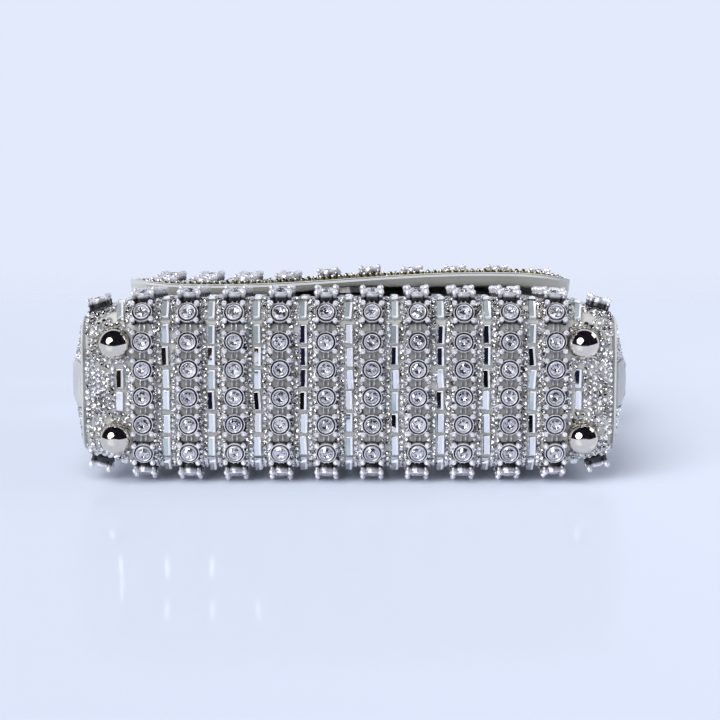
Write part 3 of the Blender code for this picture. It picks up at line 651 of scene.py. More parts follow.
@dataclass(frozen=True)
class LeatherFinish:
    """Satin leather: fine pebbles, soft patches of tone, and a paler painted edge where the piece marks one."""

    name: str
    colour: Colour
    shade: Colour
    edge: Colour = (0.62, 0.63, 0.64)
    pebble: float = 1500.0
    fine_grain: float = 2.2
    depth: float = 0.00012
    relief: float = 0.35
    patches: float = 45.0
    wear: float = 220.0
    pore_tone: float = 0.82
    gloss: float = 0.42

    def material(self) -> bpy.types.Material:
        """Build the finish.

        Returns:
            The material.
        """
        recipe = Recipe(self.name)
        patches = recipe.level(recipe.noise(self.patches, 4.0), 0.35, 0.65)
        tone = recipe.blend(patches, self.shade, self.colour)
        pores = recipe.level(recipe.cells(self.pebble), 0.0, 0.55, self.pore_tone, 1.0)
        tone = recipe.blend(1.0, tone, recipe.ramp(pores, [(0.0, BLACK), (1.0, WHITE)]), "MULTIPLY")
        tone = recipe.blend(recipe.lot("edge"), tone, self.edge)
        grain = recipe.maths("ADD", recipe.cells(self.pebble), recipe.noise(self.pebble * self.fine_grain, 2.0))
        return recipe.finished(
            Base_Color=tone,
            Roughness=recipe.level(recipe.noise(self.wear), 0.3, 0.7, self.gloss - 0.08, self.gloss + 0.1),
            Normal=recipe.bumped(grain, self.relief, self.depth),
            Specular_IOR_Level=0.5,
        )


@dataclass(frozen=True)
class MetalFinish:
    """Plated metal: a tint, a fine crinkle, handling marks, and painted shade on low points, where the piece marks
    its heights.
    """

    name: str
    colour: Colour
    shade: Colour
    gloss: float
    crinkle: float
    crinkle_scale: float
    depth: float = 0.0002
    painted_shade_heights: tuple[float, float] | None = None
    painted_shade_tone: Colour = (0.05, 0.05, 0.055)
    plating: float = 1.0
    smudges: float = 700.0
    scuffs: float = 1500.0

    def material(self) -> bpy.types.Material:
        """Build the finish.

        Returns:
            The material.
        """
        recipe = Recipe(self.name)
        smudge = recipe.level(recipe.noise(self.smudges, 4.0), 0.35, 0.7)
        tone = recipe.blend(smudge, self.colour, self.shade)
        if self.painted_shade_heights:
            # Painted shade: points low on the piece, by their marked height, are darkened towards a near-black tone.
            tone = recipe.blend(recipe.level(recipe.lot("rise"), *self.painted_shade_heights), self.painted_shade_tone, tone)
        normal = recipe.bumped(recipe.cells(self.crinkle_scale), self.crinkle, self.depth)
        return recipe.finished(
            Base_Color=tone,
            Metallic=self.plating,
            Roughness=recipe.level(recipe.noise(self.scuffs), 0.3, 0.7, self.gloss * 0.7, self.gloss * 1.4),
            Normal=normal,
        )


@dataclass(frozen=True)
class StoneFinish:
    """Foil-backed cut glass: mirror shards under a clear face, each stone with its own tone and share of mirror, and
    a painted white highlight on the bevel that the piece marks.
    """

    name: str
    colours: tuple[Colour, ...]
    shard_scale: float
    shard_tilt: float
    gloss: float = 0.06
    mirror: tuple[float, float] = (1.0, 1.0)
    mirror_from: float = 0.5
    mirror_step: float = 0.02
    highlight_edge: tuple[float, float] = (0.05, 0.15)
    highlight_mirror: float = 0.2
    fleck_scale: float = 1.3
    fleck_share: float = 0.25
    scuffs: float = 3000.0
    highlight_tone: Colour = (0.93, 0.94, 0.97)
    fleck_tone: Colour = (0.98, 0.98, 1.0)

    def material(self) -> bpy.types.Material:
        """Build the finish.

        Returns:
            The material.
        """
        recipe = Recipe(self.name)
        count = len(self.colours)
        own = recipe.ramp(recipe.lot("lot"), [(k / max(count - 1, 1), c) for k, c in enumerate(self.colours)])
        # Painted highlight: the bevel that the piece marks is painted near white and keeps only a small share of
        # mirror.
        own = recipe.blend(recipe.level(recipe.lot("bevel"), *self.highlight_edge), own, self.highlight_tone)
        low, high = self.mirror_from - self.mirror_step, self.mirror_from + self.mirror_step
        mirror = recipe.level(recipe.lot("lot"), low, high, *self.mirror)
        flecks = recipe.level(recipe.cells(self.shard_scale * self.fleck_scale), 0.1, 0.5)
        tone = recipe.blend(recipe.maths("MULTIPLY", flecks, self.fleck_share), own, self.fleck_tone)
        share = recipe.level(recipe.lot("bevel"), *self.highlight_edge, 1.0, self.highlight_mirror)
        return recipe.finished(
            Base_Color=tone,
            Metallic=recipe.maths("MULTIPLY", mirror, share),
            Roughness=recipe.level(recipe.noise(self.scuffs), 0.3, 0.7, self.gloss * 0.5, self.gloss * 1.5),
            Normal=recipe.shards(self.shard_scale, self.shard_tilt),
            Coat_Weight=0.5,
            Coat_Roughness=0.02,
        )


@dataclass(frozen=True)
class PlainFinish:
    """A matt stuff with fibres, for card, thread and the like."""

    name: str
    colour: Colour
    shade: Colour
    scale: float = 900.0
    gloss: float = 0.8

    def material(self) -> bpy.types.Material:
        """Build the finish.

        Returns:
            The material.
        """
        recipe = Recipe(self.name)
        fibres = recipe.noise(self.scale, 6.0, 0.7)
        return recipe.finished(
            Base_Color=recipe.blend(recipe.level(fibres, 0.3, 0.7), self.shade, self.colour),
            Roughness=self.gloss,
            Normal=recipe.bumped(fibres, 0.3, 0.0001),
        )


def dressed(slot: Slot, finish: LeatherFinish | MetalFinish | StoneFinish | PlainFinish) -> Dress:
    """A wardrobe's entry, whose finish is mixed when the wardrobe is made."""
    return field(default_factory=lambda: Dress(slot, finish.material()))


@dataclass
class Wardrobe:
    """Every finish of the bag, made once."""

    leather: Dress = dressed(
        Slot.LEATHER, LeatherFinish("warm_grey_leather", (0.56, 0.56, 0.53), (0.50, 0.50, 0.47))
    )
    band: Dress = dressed(
        Slot.LEATHER, LeatherFinish("pale_band_leather", (0.60, 0.61, 0.62), (0.50, 0.51, 0.52))
    )
    lining: Dress = dressed(Slot.LINING, LeatherFinish(
        "satin_grey_lining", (0.74, 0.74, 0.73), (0.64, 0.64, 0.63), pebble=2600.0, depth=0.00005, gloss=0.33
    ))
    # Painted shade darkens the settings fully below 2.0 mm and fades out by 3.4 mm.
    setting: Dress = dressed(Slot.SETTING, MetalFinish(
        "bright_setting", (0.97, 0.96, 1.0), (0.88, 0.87, 0.93), gloss=0.17, crinkle=0.30, crinkle_scale=1500.0,
        painted_shade_heights=(0.0020, 0.0034), plating=0.55,
    ))
    # The snap's polished nickel as a satin tone painted darker: painted shade for the gap under the flap where it
    # sits.
    magnet: Dress = dressed(Slot.NICKEL, MetalFinish(
        "shaded_satin_nickel", (0.42, 0.42, 0.43), (0.36, 0.36, 0.37), gloss=0.32, crinkle=0.05, crinkle_scale=300.0
    ))
    nickel: Dress = dressed(Slot.NICKEL, MetalFinish(
        "polished_nickel", (0.80, 0.75, 0.67), (0.74, 0.69, 0.61), gloss=0.07, crinkle=0.02, crinkle_scale=90.0
    ))
    foil: Dress = dressed(Slot.BRASS, MetalFinish(
        "olive_foil", (0.42, 0.38, 0.16), (0.20, 0.18, 0.07), gloss=0.25, crinkle=0.6, crinkle_scale=1500.0
    ))
    channel: Dress = dressed(Slot.SETTING, MetalFinish(
        "channel_metal", (0.90, 0.90, 0.93), (0.74, 0.74, 0.78), gloss=0.2, crinkle=0.2, crinkle_scale=900.0
    ))
    crystal: Dress = dressed(Slot.SETTING, StoneFinish(
        "clear_crystal", ((0.46, 0.46, 0.50), (0.72, 0.72, 0.76)),
        shard_scale=900.0, shard_tilt=0.50, gloss=0.05, mirror=(0.95, 0.85),
    ))
    chip: Dress = dressed(Slot.SETTING, StoneFinish(
        "small_crystal", ((0.56, 0.53, 0.50), (0.76, 0.75, 0.74), (0.93, 0.93, 0.96)),
        shard_scale=1300.0, shard_tilt=0.60, gloss=0.05, mirror=(1.0, 0.8),
    ))
    baguette: Dress = dressed(Slot.SETTING, StoneFinish(
        "mirror_baguette", ((0.34, 0.44, 0.48), (0.72, 0.81, 0.86), (0.92, 0.93, 0.96), (0.86, 0.80, 0.77)),
        shard_scale=130.0, shard_tilt=0.015, gloss=0.03, mirror=(0.55, 1.0), mirror_from=0.4,
    ))
    thread: Dress = dressed(Slot.LEATHER, PlainFinish("pale_thread", (0.70, 0.70, 0.69), (0.52, 0.52, 0.50)))
    card: Dress = dressed(Slot.BOARD, PlainFinish("stiff_card", (0.42, 0.35, 0.27), (0.33, 0.27, 0.20)))


# The bag's form


@dataclass(frozen=True)
class BodyForm:
    """The outer leather as the solids have it: a bulged box on rolled edges, narrower at the top."""

    set_back: float
    half_width: float = 0.102
    panel_half_width: float = 0.1004
    base_z: float = 0.0075
    rim_z: float = 0.1555
    base_half_depth: float = 0.026
    top_half_depth: float = 0.021
    bulge: float = 0.006
    bulge_power: int = 8
    roll: float = 0.0098
    puff: float = 0.006
    puff_height: float = 0.030
    gusset_inset: float = 0.0020
    leather: float = 0.0016
    chain_line: float = 0.002
    lean_blend: float = 0.004

    @property
    def wall_foot_z(self) -> float:
        """The height where the roll ends and the wall starts."""
        return self.base_z + self.roll

    def half_depth(self, x: np.ndarray, z: np.ndarray) -> np.ndarray:
        """Half the depth: the base's plus a bulge times 1 - |x / w|^8, easing in a line to the rim's.

        Args:
            x: metres right of the middle.
            z: metres above the ground.

        Returns:
            Metres from the middle plane to the leather.
        """
        low = self.base_half_depth + self.bulge * (1 - np.abs(x / self.half_width) ** self.bulge_power)
        rise = np.clip((z - self.wall_foot_z) / (self.rim_z - self.wall_foot_z), 0, 1)
        return low + (self.top_half_depth - low) * rise

    def flat_reach(self, x: np.ndarray) -> np.ndarray:
        """How far the flat of the base runs from its middle line."""
        return self.half_depth(x, self.wall_foot_z) - self.roll

    def seam(self, x: np.ndarray) -> np.ndarray:
        """The girth where the wall starts."""
        return self.flat_reach(x) + self.roll * np.pi / 2

    def rim_girth(self, x: np.ndarray) -> np.ndarray:
        """The girth at the rim."""
        lean = np.arctan2(self.half_depth(x, self.wall_foot_z) - self.top_half_depth, self.rim_z - self.wall_foot_z)
        return self.seam(x) + (self.rim_z - self.wall_foot_z) / np.cos(lean)

    def places(self, x: object, girth: object) -> Places:
        """Frames on the leather at places across and along the girth.

        Args:
            x: metres right of the middle.
            girth: metres from the middle of the base, negative up the front.

        Returns:
            Places: flat on the base, then on a circle of the roll's radius, then on the leaning wall. Across
            points to -x, along the growing girth, and outward away from the bag.
        """
        x, girth = flattened(x, girth)
        side = np.where(girth < 0, -1.0, 1.0)
        run = np.abs(girth)
        low = self.half_depth(x, self.wall_foot_z)
        flat, seam = self.flat_reach(x), self.seam(x)
        lean = np.arctan2(low - self.top_half_depth, self.rim_z - self.wall_foot_z)
        on_roll = np.clip((run - flat) / self.roll, 0, np.pi / 2)
        angle = on_roll + lean * np.clip((run - seam) / self.lean_blend + 0.5, 0, 1)
        z_wall = self.wall_foot_z + (run - seam) * np.cos(lean)
        wall = run > seam
        y = np.where(wall, self.half_depth(x, z_wall), np.minimum(run, flat) + self.roll * np.sin(on_roll))
        z = np.where(wall, z_wall, self.wall_foot_z - self.roll * np.cos(on_roll))
        slope = self.bulge * self.bulge_power * np.abs(x) ** (self.bulge_power - 1)
        slope = np.copysign(slope / self.half_width**self.bulge_power, x)
        fade = np.clip((self.rim_z - z) / (self.rim_z - self.wall_foot_z), 0, 1)
        across = unit(np.stack([-np.ones_like(x), side * slope * fade * np.sin(angle), np.zeros_like(x)], axis=1))
        outward = squared(np.stack([np.zeros_like(x), side * np.sin(angle), -np.cos(angle)], axis=1), across)
        origins = np.stack([x, side * y + self.set_back, z], axis=1)
        return Places(origins, np.stack([across, np.cross(outward, across), outward], axis=2))

    def chain_places(self, x: object, run: object) -> Places:
        """Frames along a chain, which bends over a roll about a line a little above the leather.

        Args:
            x: metres right of the middle.
            run: metres along the chain from the base's middle, negative up the front.

        Returns:
            Places on the leather under each point of the chain.
        """
        x, run = flattened(x, run)
        flat, bend = self.flat_reach(x), self.roll + self.chain_line
        on_roll = np.clip(np.abs(run) - flat, 0, bend * np.pi / 2)
        beyond = np.clip(np.abs(run) - flat - on_roll, 0, None)
        girth = np.minimum(np.abs(run), flat) + on_roll * self.roll / bend + beyond
        return self.places(x, np.copysign(girth, run))

    def gusset_half_width(self, z: np.ndarray) -> np.ndarray:
        """Half the gusset's width inside the piping, rounded off at its foot by the roll.

        Args:
            z: metres above the ground.

        Returns:
            Metres from the middle plane to the piping.
        """
        edge = self.half_width
        upper = self.half_depth(edge, z) - self.gusset_inset
        drop = np.clip(self.wall_foot_z - z, 0, None)
        inner = self.half_depth(edge, self.wall_foot_z) - self.roll
        lower = inner + np.sqrt(np.clip((self.roll - self.gusset_inset) ** 2 - drop**2, 0, None))
        return np.where(z >= self.wall_foot_z, upper, lower)

    def gusset_x(self, y: np.ndarray, z: np.ndarray) -> np.ndarray:
        """How far out the gusset stands: a puff times (1 - (y / w)^2) (1 - (1 - rise)^2).

        Args:
            y: metres from the bag's middle plane, positive to the back.
            z: metres above the ground.

        Returns:
            Metres from the bag's middle to the gusset's surface.
        """
        rise = np.clip((z - self.base_z - self.gusset_inset) / self.puff_height, 0, 1)
        share = np.clip(y / np.maximum(self.gusset_half_width(z), 1e-4), -1, 1)
        return self.half_width + self.puff * (1 - share**2) * (1 - (1 - rise) ** 2)

    def gusset_places(self, side: int, y: np.ndarray, z: np.ndarray) -> Places:
        """Frames on a gusset, with outward from the surface's slopes by small differences.

        Args:
            side: -1 for the left, 1 for the right.
            y: metres from the bag's middle plane, positive to the back.
            z: metres above the ground.

        Returns:
            Places with across to the side, along up the gusset, and outward.
        """
        step = 0.0004
        x = self.gusset_x(y, z)
        slope_y = (self.gusset_x(y + step, z) - self.gusset_x(y - step, z)) / (2 * step)
        slope_z = (self.gusset_x(y, z + step) - self.gusset_x(y, z - step)) / (2 * step)
        outward = unit(np.stack([np.full_like(y, side), -slope_y, -slope_z], axis=1))
        along = squared(np.tile([0.0, 0.0, 1.0], (len(y), 1)), outward)
        origins = np.stack([side * x, y + self.set_back, z], axis=1)
        return Places(origins, np.stack([np.cross(along, outward), along, outward], axis=2))


@dataclass(frozen=True)
class FlapForm:
    """The flap as the solids have it: a flat top, a fold, and a leaning drop that waves towards its edge."""

    body: BodyForm
    half_width: float = 0.0925
    under_z: float = 0.156
    fold: float = 0.005
    fold_inset: float = 0.001
    spread: float = math.radians(1.3)
    drop: float = 0.0835
    corner: float = 0.016
    wave: float = 0.0025
    wave_quarter: float = 0.056
    wave_power: float = 1.5
    curl: float = 0.0016
    curl_start: float = 0.068
    sag_place: float = 0.013
    sag_middle: float = 0.0018
    sag_ends: float = 0.0028
    sag_left: tuple[float, float, float] = (0.040, 0.0525, 1.5)
    sag_right: tuple[float, float, float] = (0.066, 0.0265, 2)
    sag_crest: float = 0.018
    taper: float = 0.0015
    taper_reach: float = 0.009
    lining: float = 0.0009
    thickness: float = 0.003

    @property
    def lean(self) -> float:
        """The drop's lean: the wall's own lean and a little more.

        Returns:
            The angle in radians.
        """
        body = self.body
        narrowing = body.base_half_depth + body.bulge - body.top_half_depth
        return math.atan2(narrowing, body.rim_z - body.wall_foot_z) + self.spread

    @property
    def top_run(self) -> float:
        """The run from the hinge to the fold."""
        return 2 * self.body.top_half_depth - self.fold_inset

    @property
    def fold_end(self) -> float:
        """The run at which the fold ends."""
        return self.top_run + self.fold * (np.pi / 2 - self.lean)

    @property
    def length(self) -> float:
        """The run from the hinge to the free edge."""
        return self.fold_end + self.drop

    def reach(self, x: np.ndarray) -> np.ndarray:
        """The flap's length at a place across it, shorter round its corners by a quarter circle."""
        past = np.clip(np.abs(x) - (self.half_width - self.corner), 0, self.corner)
        return self.length - self.corner + np.sqrt(self.corner**2 - past**2)

    def sag(self, x: np.ndarray, run: np.ndarray) -> np.ndarray:
        """How far the leather sinks behind its free edge.

        Args:
            x: metres right of the middle.
            run: metres from the hinge.

        Returns:
            s (b / p) exp(1 - b / p), b behind the edge, with s a middle part that the crest leaves out, and a
            part that grows towards each end from its own start.
        """
        behind = np.clip(self.reach(x) - run, 0, None) / self.sag_place
        left, right = (
            np.clip((away - start) / length, 0, 1) ** power
            for away, (start, length, power) in ((-x, self.sag_left), (x, self.sag_right))
        )
        middle = self.sag_middle * (1 - np.exp(-((x / self.sag_crest) ** 2)))
        depth = middle + self.sag_ends * np.where(x < 0, left, right)
        return depth * behind * np.exp(1 - behind)

    def thinned(self, x: np.ndarray, run: np.ndarray) -> np.ndarray:
        """How far the underside rises towards the free edge: t (1 - d / r)^2 at a distance d from it."""
        away = np.clip((self.reach(x) - run) / self.taper_reach, 0, 1)
        return self.taper * (1 - away) ** 2

    def places(self, x: object, run: object, offset: object = 0.0) -> Places:
        """Frames on the flap.

        Args:
            x: metres right of the middle.
            run: metres from the hinge, over the fold and down the drop.
            offset: metres outwards from the flap's underside, one value or one for each place.

        Returns:
            Places on a line, then a circle of the fold's radius, then a leaning line, moved out by
            h sin(pi x / 2 q) with h growing down the drop, and tilted across by its slope.
        """
        x, run = flattened(x, run)
        turned = np.clip((run - self.top_run) / self.fold, 0, np.pi / 2 - self.lean)
        zero = np.zeros_like(x)
        outward = np.stack([zero, -np.sin(turned), np.cos(turned)], axis=1)
        along = np.stack([zero, -np.cos(turned), -np.sin(turned)], axis=1)
        hinge_y = self.body.top_half_depth + self.body.set_back
        centre = np.stack([x, zero + hinge_y - self.top_run, zero + self.under_z - self.fold], axis=1)
        flat = np.stack([x, hinge_y - run, zero + self.under_z], axis=1)
        bent = centre + outward * self.fold + along * np.clip(run - self.fold_end, 0, None)[:, None]
        point = np.where((run <= self.top_run)[:, None], flat, bent)
        height = self.wave * (np.clip(run - self.fold_end, 0, None) / self.drop) ** self.wave_power
        turn = np.pi / 2 / self.wave_quarter
        point[:, 1] -= height * np.sin(turn * x)
        past = np.clip((np.abs(x) - self.curl_start) / (self.half_width - self.curl_start), 0, 1)
        point[:, 1] += self.curl * np.sign(x) * past**2 * (height / self.wave)
        point[:, 1] += self.sag(x, run)
        across = unit(np.stack([zero - 1, height * turn * np.cos(turn * x), zero], axis=1))
        outward = squared(outward, across)
        axes = np.stack([across, np.cross(outward, across), outward], axis=2)
        return Places(point + outward * np.broadcast_to(np.ravel(offset), len(x))[:, None], axes)


# Sub-assemblies


@dataclass
class LeatherBody:
    """The leather of base, front and back, the gussets with their bands, the piping and the stitches."""

    form: BodyForm
    wardrobe: Wardrobe
    across_steps: int = 73
    base_steps: int = 49
    wall_steps: int = 56
    height_steps: int = 61
    base_gap: float = 0.0001
    wall_gap: float = 0.0002
    rim_round: float = 0.0010
    lip: tuple[tuple[float, float], ...] = (
        (0.0003, 0.0003), (0.0010, 0.0), (0.0052, 0.0), (0.0059, 0.0003), (0.0062, 0.0010), (0.0062, 0.0016),
        (0.0017, 0.0016),
    )
    uneven: float = 0.00012
    uneven_length: float = 0.018
    band_width: float = 0.0167
    band_thickness: float = 0.0014
    band_gap: float = 0.0003
    band_low: float = 0.0095
    band_top: float = 0.1515
    band_seam: float = 0.0008
    piping_radius: float = 0.0005
    piping_inset: float = 0.0005
    stitch_length: float = 0.0022
    stitch_pitch: float = 0.0032
    stitch_inset: float = 0.003
    stitch_radius: float = 0.00018
    stitch_arch: float = 0.00016

    def build(self) -> None:
        """Make every leather piece of the body."""
        self.base()
        self.wall("front", -1)
        self.wall("back", 1)
        for word, side in SIDES:
            self.gusset(word, side)
            self.band(word, side)
            self.piping(word, side)

    def stations(self) -> np.ndarray:
        """Places across, closer towards the ends: w sin of an even angle."""
        return self.form.panel_half_width * np.sin(np.linspace(-np.pi / 2, np.pi / 2, self.across_steps))[:, None]

    def skin(self, x: np.ndarray, girth: np.ndarray, depth: float) -> np.ndarray:
        """A grid on the leather, sunk by a depth, with a faint unevenness.

        Args:
            x: metres right of the middle.
            girth: metres from the middle of the base.
            depth: metres under the surface.

        Returns:
            (r, c, 3) points.
        """
        shape = np.broadcast_shapes(x.shape, girth.shape)
        places = self.form.places(x + 0 * girth, girth + 0 * x)
        y_and_z = places.origins[:, 1] + places.origins[:, 2]
        uneven = self.uneven * ripple(places.origins[:, 0], y_and_z, self.uneven_length, 5)
        return places.moved(outward=np.minimum(uneven, 0.0) - depth).origins.reshape(*shape, 3)

    def base(self) -> None:
        """The base's leather up to both seams."""
        x = self.stations()
        girth = np.linspace(-1, 1, self.base_steps)[None, :] * (self.form.seam(x) - self.base_gap)
        shape = slab(self.skin(x, girth, 0.0), self.skin(x, girth, self.form.leather))
        add_piece("base_leather", shape, self.wardrobe.leather, "base_panel", Crease.LEATHER)

    def wall(self, word: str, side: int) -> None:
        """A wall's leather: outside up to the rim, round it, and a lip over board and lining.

        Args:
            word: the side's word in the names.
            side: -1 for the front, 1 for the back.
        """
        form = self.form
        x = self.stations()
        start, end = form.seam(x) + self.wall_gap, form.rim_girth(x) - self.rim_round
        girth = side * (start + (end - start) * np.linspace(0, 1, self.wall_steps)[None, :])
        outer, inner = self.skin(x, girth, 0.0), self.skin(x, girth, form.leather)
        depth = form.half_depth(x[:, 0], form.rim_z)
        lip = [
            np.stack([x[:, 0], side * (depth - inset) + form.set_back, np.full(len(x), form.rim_z - drop)], axis=1)
            for inset, drop in self.lip
        ]
        ring = np.concatenate([outer, np.stack(lip, axis=1), inner[:, ::-1]], axis=1)
        add_piece(f"{word}_leather", lofted(ring), self.wardrobe.leather, f"{word}_panel", Crease.LEATHER)
        count = int(2 * form.panel_half_width / self.stitch_pitch)
        across = (np.arange(count) - (count - 1) / 2) * self.stitch_pitch
        places = form.places(across, side * (form.rim_girth(across) - self.stitch_inset))
        self.stitches(f"rim_stitches_{word}", places.turned(spin=np.pi / 2), Body.BAG)

    def stitches(self, name: str, places: Places, body: Body) -> None:
        """A row of thread stitches lying along the places' second axis.

        Args:
            name: the piece's name.
            places: where the stitches sit.
            body: what they ride on.
        """
        half = self.stitch_length / 2
        arch = self.stitch_arch * np.cos(np.linspace(-1.6, 1.6, 7))
        path = np.stack([np.zeros(7), np.linspace(-half, half, 7), arch], axis=1)
        shape = piped(path, (1, 0, 0), self.stitch_radius, 6).copied(places)
        add_piece(name, shape, self.wardrobe.thread, crease=Crease.ROUND, body=body)

    def gusset(self, word: str, side: int) -> None:
        """A puffed side wall between its seams.

        Args:
            word: the side's word in the names.
            side: -1 for the left, 1 for the right.
        """
        form = self.form
        low = form.base_z + form.gusset_inset
        z = low + (form.rim_z - low) * np.linspace(0, 1, self.height_steps)[:, None] ** 1.3
        y = form.gusset_half_width(z) * np.sin(np.linspace(-np.pi / 2, np.pi / 2, 33))[None, :]
        outer = form.gusset_places(side, y.ravel(), (z + 0 * y).ravel()).origins.reshape(*y.shape, 3)
        shape = slab(outer, outer - np.array([side * form.leather, 0, 0]))
        add_piece(f"gusset_leather_{word}", shape, self.wardrobe.leather, f"gusset_{word}", Crease.LEATHER)

    def band(self, word: str, side: int) -> None:
        """The plain band up the gusset, with a stitch row along each edge.

        Args:
            word: the side's word in the names.
            side: -1 for the left, 1 for the right.
        """
        form = self.form
        share = np.linspace(-1, 1, 13)[None, :]
        z = np.linspace(self.band_low, self.band_top, self.height_steps)[:, None]
        limit = form.gusset_half_width(z)
        y = np.clip(self.band_width / 2 * share, -limit + self.band_seam, limit - self.band_seam)
        x = form.gusset_x(y, z + 0 * y)
        crown = self.band_thickness * (1 - 0.25 * np.abs(share) ** 6)
        outer = np.stack([side * (x + self.band_gap + crown), y + form.set_back, z + 0 * y], axis=-1)
        inner = np.stack([side * (x + self.band_gap), y + form.set_back, z + 0 * y], axis=-1)
        shape = slab(outer, inner)
        add_piece(f"gusset_strap_{word}", shape, self.wardrobe.band, f"gusset_band_{word}", Crease.LEATHER)
        rows = []
        heights = np.arange(self.band_low + 0.012, self.band_top - 0.003, self.stitch_pitch)
        for edge in (-1, 1):
            across = np.full(len(heights), edge * (self.band_width / 2 - self.stitch_inset))
            rows.append(form.gusset_places(side, across, heights).moved(outward=self.band_gap + self.band_thickness))
        self.stitches(f"strap_stitches_{word}", Places.joined(rows), Body.BAG)

    def piping(self, word: str, side: int) -> None:
        """The piped cord at the seam between gusset, walls and base.

        Args:
            word: the side's word in the names.
            side: -1 for the left, 1 for the right.
        """
        form = self.form
        x = side * form.half_width
        path = form.places(x, np.linspace(-1, 1, 181) * (form.rim_girth(x) - self.wall_gap))
        normal = unit(path.axes[:, :, 2] * np.array([0, 1, 1]))
        middle = np.array([0, form.set_back, 0])
        points = path.origins - middle - normal * self.piping_inset + middle
        shape = piped(points, (1, 0, 0), self.piping_radius, 12)
        add_piece(f"piped_seam_{word}", shape, self.wardrobe.band, f"piping_{word}", Crease.ROUND)


@dataclass
class Lining:
    """The bag's inside: a box of satin lining, open at the top, on its boards."""

    form: BodyForm
    wardrobe: Wardrobe
    offset: float = 0.0055
    thickness: float = 0.0006
    top: float = 0.1535
    roll_top: float = 0.021
    mouth_inset: float = 0.0003
    around: int = 160

    def loop(self, z: float, inset: float) -> np.ndarray:
        """A level loop: x = a sign(c)|c|^(1/4), y = the half depth less an offset, times sign(s)|s|^(1/4).

        Args:
            z: metres above the ground.
            inset: metres inside the lining's outside.

        Returns:
            (n, 3) points.
        """
        form = self.form
        turn = turns(self.around)
        squared_x, squared_y = (np.sign(part) * np.abs(part) ** 0.25 for part in (np.cos(turn), np.sin(turn)))
        x = (form.panel_half_width - inset) * squared_x
        drop = np.clip(form.wall_foot_z - z, 0, None)
        deep = form.half_depth(x, max(z, form.wall_foot_z)) - form.roll
        deep = deep + np.sqrt(np.clip((form.roll - self.offset) ** 2 - drop**2, 0, None)) - inset
        return np.stack([x, deep * squared_y + form.set_back, np.full(self.around, z)], axis=1)

    def build(self) -> None:
        """Make the lining as loops down the outside and up the inside, with a floor on each side of the leather."""
        low = self.form.base_z + self.offset
        heights = np.concatenate([
            np.linspace(self.top, self.roll_top, 24), np.linspace(self.roll_top - 0.0015, low, 8)
        ])
        outside = [self.loop(z, 0.0) for z in heights]
        inside = [self.loop(max(z, low + self.thickness), self.thickness) for z in heights[::-1]]
        rings = np.stack([self.loop(self.top, self.mouth_inset)] + outside + inside)
        skin = lofted(rings[::-1], capped=False)
        first = np.arange(self.around)
        last = first + (len(rings) - 1) * self.around
        mouth = np.stack([last, np.roll(last, -1), np.roll(first, -1), first], axis=1)
        outer_low = len(rings) - 1 - len(outside)
        inner_low = outer_low - 1
        walls = skin.faces[0][skin.faces[0][:, 0] // self.around != inner_low]
        floors = np.stack([first + inner_low * self.around, first + outer_low * self.around])
        shape = Shape(skin.points, (walls, mouth, floors))
        add_piece("bag_lining", shape, self.wardrobe.lining, "lining", Crease.LEATHER)


@dataclass
class Feet:
    """Four polished dome feet on flanges, with the washers inside."""

    form: BodyForm
    wardrobe: Wardrobe
    height: float = 0.0075
    radius: float = 0.0061
    dome: float = 0.0057
    cap: float = math.radians(63)
    tip: float = 0.22
    flange: float = 0.0008
    shank: float = 0.0014
    shank_top: float = 0.0130
    end_inset: float = 0.0127
    back_shift: float = 0.0018
    sides: int = 64

    def spots(self) -> list[tuple[str, float, float]]:
        """Names and places of the feet: the back pair just inside its roll, the front pair further in.

        Returns:
            For each foot its word, x, and y from the bag's middle plane.
        """
        x = self.form.half_width - self.end_inset
        back = float(self.form.flat_reach(np.array(x))) - 0.0001
        return [(word, i * x, back if j > 0 else 2 * self.back_shift - back) for word, i, j in CORNERS]

    def build(self) -> None:
        """Spin the foot: a flat tip, a cap of a sphere, a short side, a rounded flange and the shank."""
        top = self.height - 0.0003
        rise = top - self.flange
        sphere = self.dome / math.sin(self.cap)
        turn = np.linspace(self.tip, self.cap, 24)
        dome = np.stack([sphere * np.sin(turn), sphere * (1 - np.cos(turn))], axis=1)
        dome[:, 1] -= dome[0, 1]
        side, flange = self.dome + 0.0001, self.radius - 0.0002
        rim = [(side, dome[-1, 1] + 0.0003), (side, rise), (flange, rise), (self.radius, rise + 0.0003)]
        rim += [(self.radius, top - 0.0002), (flange, top), (self.shank, top), (self.shank, self.shank_top)]
        foot = revolved(np.concatenate([dome, np.array(rim)]), self.sides)
        for word, x, y in self.spots():
            shape = Shape(foot.points + np.array([x, y + self.form.set_back, 0]), foot.faces)
            add_piece(f"dome_foot_{word}", shape, self.wardrobe.nickel, f"foot_{word}", Crease.EDGED)
            dress_node(f"foot_washer_{word}", self.wardrobe.nickel)


